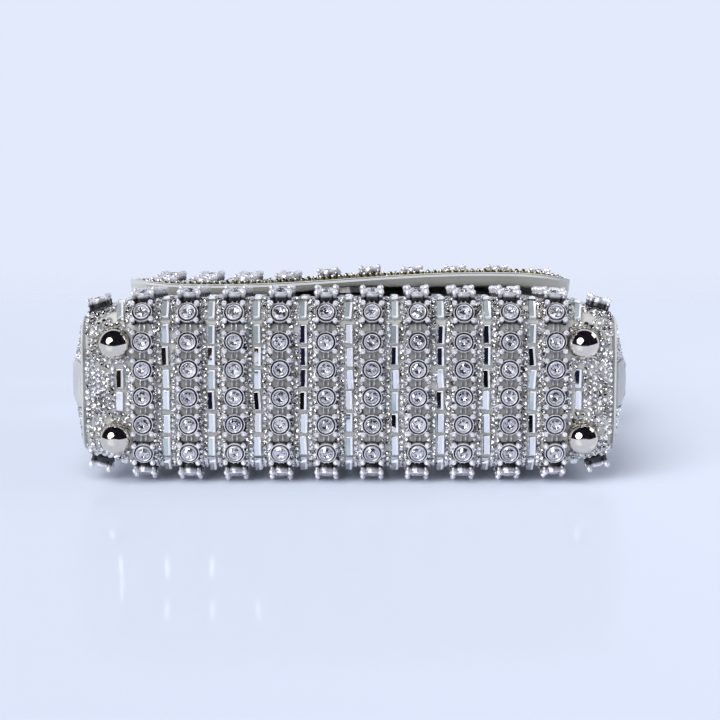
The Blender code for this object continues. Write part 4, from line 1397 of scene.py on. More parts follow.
@dataclass(frozen=True)
class Setting:
    """One claw setting with its round stone, and the link to the next."""

    half: float = 0.0033
    plate: float = 0.0070
    metal_thickness: float = 0.0008
    bezel: float = 0.0031
    bore: float = 0.00252
    stone: float = 0.00252
    wall_height: float = 0.0033
    wall_inner: float = 0.0006
    wall_outer: float = 0.0009
    claw_lean: float = 0.05
    claw_beads: tuple[tuple[float, float], ...] = (
        (0.0006, 0.0), (0.0009, 0.0007), (0.00065, 0.0014), (0.0009, 0.0022), (0.00065, 0.0030),
        (0.0009, 0.0035), (0.00108, 0.0040), (0.00105, 0.0044), (0.0008, 0.0049), (0.0004, 0.0052),
    )
    spun_sides: int = 22
    facets: int = 16
    star_reach: tuple[float, float] = (0.62, 0.84)
    girdle: float = 0.0037
    pitch: float = 0.01065
    link_rise: float = 0.0032
    link_half: float = 0.0022
    link_apart: float = 0.0008
    link_bow: float = 0.0006
    wire: float = 0.00032

    def metal(self) -> Shape:
        """A plate, a cup wall and a bezel spun from closed profiles, and a beaded claw at each corner.

        Returns:
            The metal round the origin, standing on z = 0.
        """
        plate = box_shape((self.plate, self.plate, self.metal_thickness), 0.0001)
        outer, bore, foot = self.bezel, self.bore, self.metal_thickness
        ring = [(bore, foot), (outer - 0.0002, foot), (outer, self.wall_height), (outer - 0.00008, 0.0039)]
        ring += [((bore + outer) / 2, 0.0041), (bore + 0.00008, 0.0039), (bore, 0.0034)]
        inner, outer = outer + self.wall_inner, outer + self.wall_outer
        wall = [(inner, foot), (outer, foot), (outer, self.wall_height), (inner, self.wall_height)]
        bezel = Shape.merged([revolved(profile, self.spun_sides, closed=True) for profile in (ring, wall)])
        corner = np.array([(i, j) for _, i, j in CORNERS], float)
        upright = Places(np.column_stack([corner * self.half, np.zeros(4)]), np.tile(np.eye(3), (4, 1, 1)))
        leaning = upright.turned(nod=-self.claw_lean * corner[:, 1], lean=self.claw_lean * corner[:, 0])
        return Shape.merged([plate, bezel, revolved(self.claw_beads, 8).copied(leaning)])

    def gem(self) -> Shape:
        """A round stone as its foil shows it: a sunk star of 16, a table edge, and 16 slanting outer facets.

        Returns:
            The stone round the origin, at its height in the setting.
        """
        star = self.star_reach[0] * np.where(np.arange(self.facets) % 2, self.star_reach[1], 1.0)
        levels = ((0.97, 0.0030), (0.97, self.girdle), (star, 0.0045), (0.30, 0.0040))
        rings = [circle(self.stone * reach, height, self.facets) for reach, height in levels]
        stone = starred(np.stack(rings), self.girdle)
        quads, foot, middle = stone.faces
        slant = np.concatenate([quads[:, [0, 1, 2]], quads[:, [0, 2, 3]]])
        return Shape(stone.points, (slant, middle, foot))

    def link(self) -> Shape:
        """Two thin bars side by side that bow up between two settings.

        Returns:
            The link round the origin, along y.
        """
        run = np.linspace(-1, 1, 7)
        bars = []
        for side in (-1, 1):
            x = side * (self.link_apart + 0.0001 * (1 - run**2))
            path = np.stack([x, run * self.link_half, self.link_bow + self.link_bow * (1 - run**2)], axis=1)
            bars.append(piped(path, (0, 0, 1), self.wire, 6))
        return Shape.merged(bars)


@dataclass
class CupChains:
    """The chains of claw settings over the body, and the single corner cups."""

    form: BodyForm
    wardrobe: Wardrobe
    setting: Setting
    count: int = 10
    spacing: float = 0.0175
    phase: float = -0.0013
    rows_front: int = 8
    rows_back: int = 14
    seat: float = 0.0003
    corner_x: float = 0.0955
    corner_girth: float = 0.0352
    corner_seat: float = 0.0004

    def columns(self, count: int) -> np.ndarray:
        """Places across for a count of columns, at the chains' spacing about the middle."""
        return (np.arange(count) - (count - 1) / 2) * self.spacing

    def string(self, name: str, node: str, places: Places, between: Places | None, body: Body) -> None:
        """Make settings with links between them one piece.

        Args:
            name: the piece's name.
            node: the CAD node that it replaces.
            places: where the settings sit.
            between: where the links sit, if there are any.
            body: the body that it rides on.
        """
        metal, link = self.setting.metal(), self.setting.link()
        shape, rises = metal.copied(places), np.tile(metal.points[:, 2], len(places))
        if between is not None:
            shape = Shape.merged([shape, link.copied(between)])
            rises = np.concatenate([rises, np.full(len(between) * len(link.points), self.setting.link_rise)])
        add_piece(name, shape, self.wardrobe.setting, node, Crease.CLAW, {"rise": rises}, body)

    def gems(self, name: str, places: Places, lots: np.ndarray, body: Body = Body.BAG) -> None:
        """Make all the round stones one piece, each with its lot.

        Args:
            name: the piece's name.
            places: where the settings sit.
            lots: a value from 0 to 1 for each stone.
            body: what they ride on.
        """
        gem = self.setting.gem()
        grain = {"lot": np.repeat(lots, len(gem.points))}
        add_piece(name, gem.copied(places), self.wardrobe.crystal, grain=grain, body=body)

    def build(self) -> None:
        """Make each chain, its stones, and the corner cups."""
        pitch = self.setting.pitch
        stones, lots = [], []
        rows = self.phase + (np.arange(-self.rows_front, self.rows_back) + 0.5) * pitch
        count = len(rows)
        for number, x in enumerate(self.columns(self.count)):
            places = self.settled(self.form.chain_places(x, rows).moved(outward=self.seat), number)
            between = self.form.chain_places(x, rows[:-1] + pitch / 2).moved(outward=self.seat)
            self.string(f"claw_chain_{number + 1}", f"cup_chain_{number + 1}", places, between, Body.BAG)
            stones.append(places.turned(spin=wander(number + 90, count), nod=0.06 * wander(number + 91, count)))
            lots.append(wander(number + 60, count) / 2 + 0.5)
        for word, i, j in CORNERS:
            place = self.form.places(i * self.corner_x, j * self.corner_girth).moved(outward=self.corner_seat)
            self.string(f"corner_setting_{word}", f"corner_cup_{word}", place, None, Body.BAG)
            stones.append(place)
            lots.append(np.array([0.5]))
        self.gems("chain_stones", Places.joined(stones), np.concatenate(lots))

    def settled(self, places: Places, seed: int) -> Places:
        """Settings as hands leave them: a degree or two out of line."""
        spin, lean, nod = wanders(seed + 11, 3, len(places))
        return places.turned(spin=0.035 * spin, lean=0.03 * lean, nod=0.03 * nod)


@dataclass(frozen=True)
class BaguetteCut:
    """A baguette stone in its bright metal channel."""

    width: float = 0.0028
    length: float = 0.0074
    height: float = 0.0020
    channel_height: float = 0.0010
    sunk: float = 0.0002
    girdle: tuple[float, float, float] = (-0.47, 0.47, 0.97)
    table: tuple[float, float, float] = (-0.16, 0.38, 0.88)
    foot_height: float = 0.0003
    girdle_height: float = 0.0016

    def channel(self) -> Shape:
        """The channel: a low block a little larger than the stone."""
        return box_shape((self.width, self.length, self.channel_height), -self.sunk)

    def stone(self) -> Shape:
        """The stone: a foot, a girdle, and bevels of uneven width up to a table.

        Returns:
            The stone round the origin, along y.
        """
        levels = ((self.girdle, self.foot_height), (self.girdle, self.girdle_height), (self.table, self.height))
        rings = []
        for (left, right, long), height in levels:
            x = self.width * np.array([left, right, right, left])
            y = self.length * long / 2 * np.array([-1, -1, 1, 1])
            rings.append(np.column_stack([x, y, np.full(4, height)]))
        return lofted(np.stack(rings))

    def bevels(self, count: int) -> np.ndarray:
        """For each point of a number of stones, 1 along one long side of the girdle, whose bevel gets a painted
        white highlight, and else 0.
        """
        return np.tile(np.concatenate([np.zeros(4), [1, 0, 0, 1], np.zeros(4)]), count)


@dataclass
class StoneFields:
    """Baguettes and small round stones on the body, between and beyond the chains."""

    form: BodyForm
    wardrobe: Wardrobe
    feet: Feet
    chains: CupChains
    cut: BaguetteCut
    pitch: float = 0.0086
    phase: float = -0.0029
    baguette_errors: tuple[float, float] = (0.0002, 0.00035)
    baguette_tilts: tuple[float, float, float] = (0.1, 0.05, 0.09)
    # Stones far towards the front, and some a little less far, get painted reflection: pale, less mirrored lots.
    painted_reflection_up: float = 0.0230
    painted_reflection_slant: float = 0.0130
    reflection_and_milky_shares: tuple[float, float] = (0.45, 0.08)
    reflection_and_milky_lots: float = 0.36
    mirror_lots: float = 0.45
    chip_radius: float = 0.00108
    chip_height: float = 0.0011
    chip_pitch: float = 0.00218
    chip_aside: tuple[float, float] = (0.0026, 0.0045)
    chip_error: float = 0.00012
    chip_tilt: float = 0.22
    end_inner: float = 0.0845
    end_pitch: float = 0.0022
    end_margin: float = 0.0004
    row_share: float = 0.87
    top_front: float = 0.0840
    top_back: float = 0.1475
    gusset_low: float = 0.0100
    gusset_top: float = 0.1530
    gusset_reach: float = 0.032
    gusset_inner: float = 0.0097
    clear_baguettes: float = 0.0105
    clear_columns: float = 0.0113
    clear_ends: float = 0.0107
    clear_cups: float = 0.0052
    ring_radii: tuple[float, float] = (0.0073, 0.0094)
    ring_inner: float = 0.0839

    def build(self) -> None:
        """Set the baguettes, then the small stones of the body and the gussets."""
        self.baguettes()
        self.columns()
        self.ends()
        for word, side in SIDES:
            self.gusset(word, side)

    def chip(self) -> Shape:
        """A small stone: a foil cup of 8 sides, slanting facets, and a sunk star of 8.

        Returns:
            The stone round the origin, standing on z = 0.
        """
        levels = ((1.0, 0.0), (1.0, 0.45), (0.60, 1.0))
        rings = [circle(self.chip_radius * reach, self.chip_height * rise, 8) for reach, rise in levels]
        return starred(np.stack(rings), 0.86 * self.chip_height)

    def set_chips(self, name: str, places: Places, seed: int, body: Body = Body.BAG) -> None:
        """Place small stones with a little disorder, and store each one's lot.

        Args:
            name: the name of the one piece they make.
            places: where the copies stand.
            seed: the number that the draws start from.
            body: what they ride on.
        """
        across, along, spin, nod, lean, lot = wanders(seed, 6, len(places))
        loose = places.moved(across=self.chip_error * across, along=self.chip_error * along)
        loose = loose.turned(spin=3 * spin, nod=self.chip_tilt * nod, lean=self.chip_tilt * lean)
        chip = self.chip()
        grain = {"lot": np.repeat(lot / 2 + 0.5, len(chip.points))}
        add_piece(name, chip.copied(loose), self.wardrobe.chip, grain=grain, body=body)

    def set_baguettes(self, prefix: str, places: Places, lots: np.ndarray, body: Body = Body.BAG) -> None:
        """Make the channels one piece and the stones another, each stone with its lot and a painted white highlight
        on one bevel.

        Args:
            prefix: what the two pieces' names start with.
            places: where the copies stand.
            lots: a value from 0 to 1 for each stone.
            body: what they ride on.
        """
        channel, stone = self.cut.channel(), self.cut.stone()
        add_piece(f"{prefix}baguette_channels", channel.copied(places), self.wardrobe.channel, body=body)
        # The bevel grain marks where the painted white highlight goes.
        grain = {"lot": np.repeat(lots, len(stone.points)), "bevel": self.cut.bevels(len(places))}
        add_piece(f"{prefix}baguette_stones", stone.copied(places), self.wardrobe.baguette, grain=grain, body=body)

    def clear_of_feet(self, places: Places, reach: float) -> np.ndarray:
        """Which places keep clear of the four feet.

        Args:
            places: where the copies stand.
            reach: how far off, in metres.

        Returns:
            True for each place that is kept.
        """
        keep = np.ones(len(places), bool)
        for _, x, y in self.feet.spots():
            away = np.hypot(places.origins[:, 0] - x, places.origins[:, 1] - self.form.set_back - y)
            keep &= (away > reach) | (places.origins[:, 2] > self.form.wall_foot_z)
        return keep

    def clear_of_corner_cups(self, places: Places, reach: float) -> np.ndarray:
        """Which places keep clear of the single cups at the corners.

        Args:
            places: where the copies stand.
            reach: how far off, in metres.

        Returns:
            True for each place that is kept.
        """
        keep = np.ones(len(places), bool)
        for _, i, j in CORNERS:
            centre = self.form.places(i * self.chains.corner_x, j * self.chains.corner_girth).origins[0]
            keep &= np.linalg.norm(places.origins - centre, axis=1) > reach
        return keep

    def girths(self, pitch: float, phase: float = 0.0) -> np.ndarray:
        """Evenly spaced girths from the front's limit to the back's.

        Args:
            pitch: metres between them.
            phase: a girth that they count from.

        Returns:
            The girths, from the lowest to the highest.
        """
        first = math.ceil((-self.top_front - phase) / pitch)
        last = math.floor((self.top_back - phase) / pitch)
        return phase + pitch * np.arange(first, last + 1)

    def baguettes(self) -> None:
        """The columns of baguettes, with hands' small errors of place and turn."""
        places = self.baguette_places()
        across, along, spin, nod, lean, lot = wanders(31, 6, len(places))
        aside, ahead = self.baguette_errors
        places = places.moved(across=aside * across, along=ahead * along)
        twist, tip, tilt = self.baguette_tilts
        places = places.turned(spin=twist * spin**3, nod=tip * nod, lean=tilt * lean)
        self.set_baguettes("", places, self.upper_lots(places, lot / 2 + 0.5))

    def upper_lots(self, places: Places, lots: np.ndarray) -> np.ndarray:
        """Pale, less mirrored lots, as painted reflection, for the stones that face up and for some on the slant,
        and at random as a milky tone for a few of the rest; the mirror lots for the others.

        Args:
            places: where the copies stand.
            lots: a value from 0 to 1 for each stone.

        Returns:
            The new lots.
        """
        up = self.form.set_back - places.origins[:, 1]
        slanting, others = self.reflection_and_milky_shares
        # Painted reflection: stones far towards the front, and some a little less far, take the pale, less mirrored
        # lots; a few anywhere take them at random as a milky tone.
        reflection_and_milky = (up > self.painted_reflection_up) | ((up > self.painted_reflection_slant) & (lots < slanting)) | (lots < others)
        return np.where(reflection_and_milky, self.reflection_and_milky_lots * lots, self.mirror_lots + (1 - self.mirror_lots) * lots)

    def baguette_places(self, ends_only: bool = False) -> Places:
        """Where the baguettes sit, clear of the feet: every column, or only the two outermost.

        Args:
            ends_only: whether only the two outermost columns are wanted.

        Returns:
            The places that are clear.
        """
        x = self.chains.columns(self.chains.count + 1)
        if ends_only:
            x = x[[0, -1]]
        grid_x, grid_g = np.meshgrid(x, self.girths(self.pitch, self.phase), indexing="ij")
        places = self.form.places(grid_x, grid_g)
        outer = np.abs(places.origins[:, 0]) > 0.08
        return places.kept(~outer | self.clear_of_feet(places, self.clear_baguettes))

    def columns(self) -> None:
        """Two columns of small stones on each side of each baguette column."""
        count = self.chains.count + 1
        x = self.chains.columns(count)
        x = np.concatenate([x + side * aside for side in (-1, 1) for aside in self.chip_aside])
        grid_x, grid_g = np.meshgrid(x, self.girths(self.chip_pitch), indexing="ij")
        shift = (np.arange(len(x)) // count % 2)[:, None] * self.chip_pitch / 2
        places = self.form.places(grid_x, grid_g + shift)
        keep = self.clear_of_feet(places, self.clear_columns) & (np.abs(places.origins[:, 0]) < self.end_inner)
        places = places.kept(keep & (wander(45, len(keep)) > -0.97))
        front = places.origins[:, 1] < self.form.set_back
        self.set_chips("small_stones_front", places.kept(front), 40)
        self.set_chips("small_stones_back", places.kept(~front), 50)

    def ends(self) -> None:
        """The close-set ends beyond the last chains, round feet, corner cups and the last baguettes."""
        outermost = self.form.panel_half_width + self.end_margin
        x = np.arange(self.end_inner, outermost, self.end_pitch * self.row_share)
        grid_x, grid_g = np.meshgrid(np.concatenate([-x, x]), self.girths(self.end_pitch), indexing="ij")
        grid_g = grid_g + np.tile(np.arange(len(x)) % 2, 2)[:, None] * self.end_pitch / 2
        places = self.form.places(grid_x, grid_g)
        rings = self.foot_rings()
        inside = np.arange(len(places) + len(rings)) >= len(places)
        places = Places.joined([places, rings])
        keep = inside | self.clear_of_feet(places, self.clear_ends)
        keep &= self.clear_of_corner_cups(places, self.clear_cups)
        for centre in self.baguette_places(ends_only=True).origins[:, None]:
            away = np.abs(places.origins - centre)
            keep &= (away[:, 0] > 0.0024) | (np.linalg.norm(away[:, 1:], axis=1) > self.cut.length / 2 + 0.0009)
        keep &= wander(57, len(keep)) > -0.96
        self.set_chips("small_stones_ends", places.kept(keep), 58)

    def foot_rings(self) -> Places:
        """Two rings of small stones round each foot, without those that would meet a chain or the piping.

        Returns:
            The places that are kept.
        """
        rings = []
        for _, x, y in self.feet.spots():
            for radius in self.ring_radii:
                turn = np.arange(0, 2 * np.pi, self.chip_pitch * 1.02 / radius)
                rings.append(self.form.places(x + radius * np.cos(turn), y + radius * np.sin(turn)))
        places = Places.joined(rings)
        across = np.abs(places.origins[:, 0])
        return places.kept((across > self.ring_inner) & (across < self.form.panel_half_width + self.end_margin))

    def gusset(self, word: str, side: int) -> None:
        """The close-set stones of a gusset, on both sides of its band.

        Args:
            word: the side's word in the names.
            side: -1 for the left, 1 for the right.
        """
        pitch, reach = self.end_pitch, self.gusset_reach
        rows = np.arange(self.gusset_low, self.gusset_top, pitch * self.row_share)
        z, y = np.meshgrid(rows, np.arange(-reach, reach, pitch), indexing="ij")
        y = y + (np.arange(len(y)) % 2)[:, None] * pitch / 2
        z, y = z.ravel(), y.ravel()
        keep = (np.abs(y) > self.gusset_inner) & (np.abs(y) < self.form.gusset_half_width(z) - self.end_margin)
        keep &= wander(67 + side, len(keep)) > -0.97
        places = self.form.gusset_places(side, y[keep], z[keep])
        self.set_chips(f"small_stones_gusset_{word}", places, 70 + side * 5)


@dataclass
class Flap:
    """The flap: leather, lining, painted edge, its chains and stones, and the brass-backed edge row."""

    form: FlapForm
    wardrobe: Wardrobe
    setting: Setting
    fields: StoneFields
    chain_rows: int = 7
    edge_margin: float = 0.0074
    edge_inset: float = 0.0016
    edge_pitch: float = 0.0026
    edge_paint: float = 0.0007
    edge_start: float = 0.0015
    edge_tilt: float = 0.12
    edge_cup: tuple[tuple[float, float], ...] = (
        (0.0010, 0.0), (0.00122, 0.0005), (0.00118, 0.0011), (0.0009, 0.0012),
    )
    edge_chip: tuple[tuple[float, float], ...] = (
        (0.0006, 0.0010), (0.00098, 0.0012), (0.00095, 0.0014), (0.0005, 0.0020),
    )
    baguette_tilts: tuple[float, float, float] = (0.05, 0.04, 0.06)
    baguette_rows: int = 9
    baguette_margin: float = 0.0085
    chip_rows: int = 36
    chip_margin: float = 0.0046
    side_chips: tuple[float, ...] = (-0.0838, 0.0838, -0.0860, 0.0860)
    gap: float = 0.0003

    def build(self) -> None:
        """Make every piece of the flap."""
        form, wardrobe = self.form, self.wardrobe
        self.sheet("flap_outer_leather", "flap_leather", (form.lining + self.gap, form.thickness), wardrobe.leather)
        self.sheet("flap_satin_lining", "flap_lining", (0.0, form.lining), wardrobe.lining)
        self.edge_row()
        self.chains()
        self.stones()

    def grid(self) -> tuple[np.ndarray, np.ndarray]:
        """Places across and along the flap that follow its rounded corners.

        Returns:
            (r, c) grids of the place across and of the run.
        """
        x = self.form.half_width * np.sin(np.linspace(-np.pi / 2, np.pi / 2, 73))
        top = np.linspace(0, self.form.top_run, 14)[:-1]
        fold = np.linspace(self.form.top_run, self.form.fold_end, 12)[:-1]
        share = np.linspace(0, 1, 44)[None, :]
        drop = self.form.fold_end + (self.form.reach(x)[:, None] - self.form.fold_end) * share
        fixed = np.tile(np.concatenate([top, fold]), (len(x), 1))
        return np.tile(x[:, None], (1, fixed.shape[1] + drop.shape[1])), np.concatenate([fixed, drop], axis=1)

    def sheet(self, name: str, node: str, layer: tuple[float, float], dress: Dress) -> None:
        """One layer of the flap between two offsets, pale along its cut edge.

        Args:
            name: the piece's name.
            node: the CAD node that it replaces.
            layer: the lower and the upper offset from the flap's underside.
            dress: its slot and finish.
        """
        x, run = self.grid()
        rise = self.form.thinned(x, run)
        low, high = layer[0] + rise, np.minimum(layer[1] + rise, self.form.thickness)
        outer, inner = (self.form.places(x, run, at).origins.reshape(*x.shape, 3) for at in (high, low))
        away = np.minimum(self.form.half_width - np.abs(x), self.form.reach(x) - run)
        edge = np.clip(1 - away / self.edge_paint, 0, 1)
        grain = {"edge": np.tile(edge.ravel(), 2)}
        add_piece(name, slab(outer, inner), dress, node, Crease.EDGED, grain, Body.FLAP)

    def edge_row(self) -> None:
        """Small stones in olive foil cups along the flap's sides and free edge."""
        form = self.form
        inset = form.half_width - self.edge_inset
        corner = form.corner - self.edge_inset
        straight = form.half_width - form.corner
        low = form.length - form.corner
        quarter = np.linspace(0, np.pi / 2, 40)
        right = np.concatenate([
            np.stack([np.full(80, inset), np.linspace(form.fold_end, low, 80)], axis=1),
            np.stack([straight + corner * np.cos(quarter), low + corner * np.sin(quarter)], axis=1),
            np.stack([np.linspace(straight, 0, 80), np.full(80, form.length - self.edge_inset)], axis=1),
        ])
        line = np.concatenate([right, right[::-1][1:] * (-1, 1)])
        length = run_along(line)
        spots = np.arange(self.edge_start, length[-1], self.edge_pitch)
        x, run = np.interp(spots, length, line[:, 0]), np.interp(spots, length, line[:, 1])
        along, nod, lean, lot = wanders(81, 4, len(spots))
        places = form.places(x, run, form.thickness + self.gap).moved(along=0.0001 * along)
        places = places.turned(nod=self.edge_tilt * nod, lean=self.edge_tilt * lean)
        cups = revolved(self.edge_cup, 8).copied(places)
        add_piece("edge_row_cups", cups, self.wardrobe.foil, "flap_edge_row", Crease.CUP, body=Body.FLAP)
        chip = revolved(self.edge_chip, 8)
        grain = {"lot": np.repeat(lot / 2 + 0.5, len(chip.points))}
        dress = Dress(Slot.BRASS, self.wardrobe.chip.material)
        add_piece("edge_row_stones", chip.copied(places), dress, grain=grain, body=Body.FLAP)

    def chains(self) -> None:
        """The claw chains up the flap's drop, counted from its free edge."""
        form, chains, pitch = self.form, self.fields.chains, self.setting.pitch
        seat = form.thickness + self.gap
        stones = []
        for number, x in enumerate(chains.columns(chains.count)):
            first = float(form.reach(np.array(abs(x) + 0.0043))) - self.edge_margin
            rows = first - pitch * np.arange(self.chain_rows)
            places = chains.settled(form.places(x, rows, seat), number + 200)
            between = form.places(x, rows[:-1] - pitch / 2, seat)
            chains.string(f"flap_claw_chain_{number + 1}", f"flap_chain_{number + 1}", places, between, Body.FLAP)
            stones.append(places.turned(spin=wander(number + 190, len(rows))))
        places = Places.joined(stones)
        chains.gems("flap_chain_stones", places, wander(195, len(places)) / 2 + 0.5, Body.FLAP)

    def stones(self) -> None:
        """Baguettes and small stones between the flap's chains."""
        form, fields = self.form, self.fields
        columns = fields.chains.columns(fields.chains.count - 1)
        rows = form.length - self.baguette_margin - fields.pitch * np.arange(self.baguette_rows)
        x, run = np.meshgrid(columns, rows, indexing="ij")
        places = form.places(x, run, form.thickness)
        spin, nod, lean, lot = wanders(101, 4, len(places))
        twist, tip, tilt = self.baguette_tilts
        places = places.turned(spin=twist * spin, nod=tip * nod, lean=tilt * lean)
        fields.set_baguettes("flap_", places, lot / 2 + 0.5, Body.FLAP)
        beside = [columns + side * aside for side in (-1, 1) for aside in fields.chip_aside]
        beside = np.concatenate([*beside, self.side_chips])
        rows = form.length - self.chip_margin - fields.chip_pitch * np.arange(self.chip_rows)
        x, run = np.meshgrid(beside, rows, indexing="ij")
        keep = (run < form.reach(np.abs(x) + 0.0012) - 0.0040).ravel()
        fields.set_chips("flap_small_stones", form.places(x, run, form.thickness).kept(keep), 110, Body.FLAP)


@dataclass
class Snap:
    """The magnetic snap's two halves, kept as their solids with a satin metal finish painted darker as shade."""

    wardrobe: Wardrobe

    def build(self) -> None:
        """Dress both halves."""
        for node in ("flap_magnet", "front_magnet"):
            dress_node(node, self.wardrobe.magnet)


@dataclass
class Handle:
    """The swinging top handle: a leather roll with its seam, metal ends, lugs and studs."""

    form: BodyForm
    wardrobe: Wardrobe
    body: LeatherBody
    pivot_z: float = 0.138
    end_x: float = 0.1164
    start: float = 0.012
    ferrule: float = 0.015
    rise: float = 0.098
    power: float = 2.8
    radius: float = 0.005
    sides: int = 28
    seam_width: float = 0.28
    seam_depth: float = 0.07
    lug_x: float = 0.1112
    lug_radius: float = 0.006
    lug_half: float = 0.0015
    lug_flat: float = 0.0012
    lug_bevel: float = 0.93
    overlap: float = 0.0014
    bare_steps: int = 26
    stitch_sink: float = 0.93

    def path(self, count: int) -> np.ndarray:
        """The roll's middle: a straight, then x = a |cos|^(2/p), z = b sin^(2/p), and a straight.

        Args:
            count: how many points it has.

        Returns:
            (n, 3) points at even steps.
        """
        turn = np.linspace(0, np.pi, count)
        x = self.end_x * np.sign(np.cos(turn)) * np.abs(np.cos(turn)) ** (2 / self.power)
        z = self.pivot_z + self.start + self.ferrule + self.rise * np.sin(turn).clip(0) ** (2 / self.power)
        arch = np.stack([x, np.full(count, self.form.set_back), z], axis=1)
        low = np.linspace(0, 1, 8)[:-1, None]
        right = np.array([self.end_x, self.form.set_back, self.pivot_z + self.start])
        legs = right + (arch[0] - right) * low
        path = np.concatenate([legs, arch, (legs * (-1, 1, 1))[::-1]])
        length = run_along(path)
        even = np.linspace(0, length[-1], count)
        return np.stack([np.interp(even, length, path[:, k]) for k in range(3)], axis=1)

    def build(self) -> None:
        """Make the roll, its stitches, the ends and the studs."""
        path = self.path(241)
        seam = np.exp(-(((turns(self.sides) - np.pi) / self.seam_width) ** 2))
        uneven = 1 - 0.01 * ripple(path[:, :1] + path[:, 2:], 0 * path[:, :1], 0.02, 8)
        radius = self.radius * (0.985 - self.seam_depth * seam)[None, :] * uneven
        roll = piped(path, (0, 1, 0), radius, self.sides)
        add_piece("handle_leather_roll", roll, self.wardrobe.band, "handle_roll", Crease.ROUND, body=Body.HANDLE)
        along = unit(np.gradient(path, axis=0))
        outward = np.cross(along, np.tile([0.0, 1.0, 0.0], (len(path), 1)))
        axes = np.stack([np.cross(along, -outward), along, -outward], axis=2)
        middle = slice(self.bare_steps, -self.bare_steps, 2)
        places = Places(path[middle] - outward[middle] * self.radius * self.stitch_sink, axes[middle])
        self.body.stitches("handle_stitches", places, Body.HANDLE)
        for word, side in SIDES:
            self.end(word, side)

    def end(self, word: str, side: int) -> None:
        """A ferrule with a bead at its mouth, its lug, and the stud it turns on.

        Args:
            word: the side's word in the names.
            side: -1 for the left, 1 for the right.
        """
        low = self.pivot_z + self.start - self.overlap
        top = low + self.ferrule
        profile = [(0.0050, low - 0.0002), (0.0062, low + 0.0006), (0.0064, low + 0.0016), (0.0062, top - 0.0024)]
        profile += [(0.0066, top - 0.0018), (0.0066, top - 0.0006), (0.0062, top), (0.0053, top)]
        profile += [(0.0053, low + 0.0013)]
        cup = revolved(profile, 40)
        cup = Shape(cup.points + np.array([side * self.end_x, self.form.set_back, 0]), cup.faces)
        turn = np.linspace(0, np.pi, 21) + np.pi
        reach = self.lug_radius
        outline = np.concatenate([
            np.stack([reach * np.cos(turn), self.pivot_z + reach * np.sin(turn)], axis=1),
            [[reach, low + 0.0008], [-reach, low + 0.0008]],
        ])
        middle = np.array([0.0, self.pivot_z + 0.003])
        rings = []
        bevel, flat_at = (self.lug_half, self.lug_bevel), (self.lug_flat, 1.0)
        for way, (x, shrink) in ((-1, bevel), (-1, flat_at), (1, flat_at), (1, bevel)):
            flat = middle + (outline - middle) * shrink
            across = np.full(len(flat), side * self.lug_x + way * x)
            rings.append(np.stack([across, flat[:, 0] + self.form.set_back, flat[:, 1]], axis=1))
        shape = Shape.merged([cup, lofted(np.stack(rings))])
        dress = self.wardrobe.nickel
        add_piece(f"handle_metal_end_{word}", shape, dress, f"handle_end_{word}", Crease.EDGED, body=Body.HANDLE)
        dress_node(f"handle_stud_{word}", dress)


@dataclass
class Stiffeners:
    """The boards behind the leather, kept as their solids."""

    wardrobe: Wardrobe

    def build(self) -> None:
        """Dress the boards."""
        for node in ("base_board", "front_board", "back_board"):
            dress_node(node, self.wardrobe.card)


# Studio


def hang(lamp: bpy.types.Light, towards: Vector) -> bpy.types.Object:
    """Add a light's object to the scene, turned to shine from a direction.

    Args:
        lamp: the light.
        towards: the direction that it shines from.

    Returns:
        The light's object.
    """
    holder = bpy.data.objects.new(lamp.name, lamp)
    holder.rotation_euler = towards.to_track_quat("Z", "Y").to_euler()
    bpy.context.scene.collection.objects.link(holder)
    return holder


@dataclass(frozen=True)
class Lamp:
    """A soft square lamp aimed at the bag from a direction."""

    name: str
    direction: tuple[float, float, float]
    distance: float
    size: tuple[float, float]
    watts: float

    def place(self, target: Vector) -> None:
        """Add the lamp to the scene.

        Args:
            target: the point it is aimed at.
        """
        lamp = bpy.data.lights.new(self.name, "AREA")
        lamp.shape = "RECTANGLE"
        lamp.size, lamp.size_y = self.size
        lamp.energy = self.watts
        away = Vector(self.direction).normalized()
        hang(lamp, away).location = target + away * self.distance


@dataclass(frozen=True)
class Sun:
    """A broad far lamp that lights the whole floor alike."""

    name: str
    direction: tuple[float, float, float]
    width: float
    strength: float
    seen: bool = True

    def place(self) -> None:
        """Add the lamp to the scene, with its width in degrees."""
        lamp = bpy.data.lights.new(self.name, "SUN")
        lamp.energy = self.strength
        lamp.angle = math.radians(self.width)
        hang(lamp, Vector(self.direction)).visible_glossy = self.seen


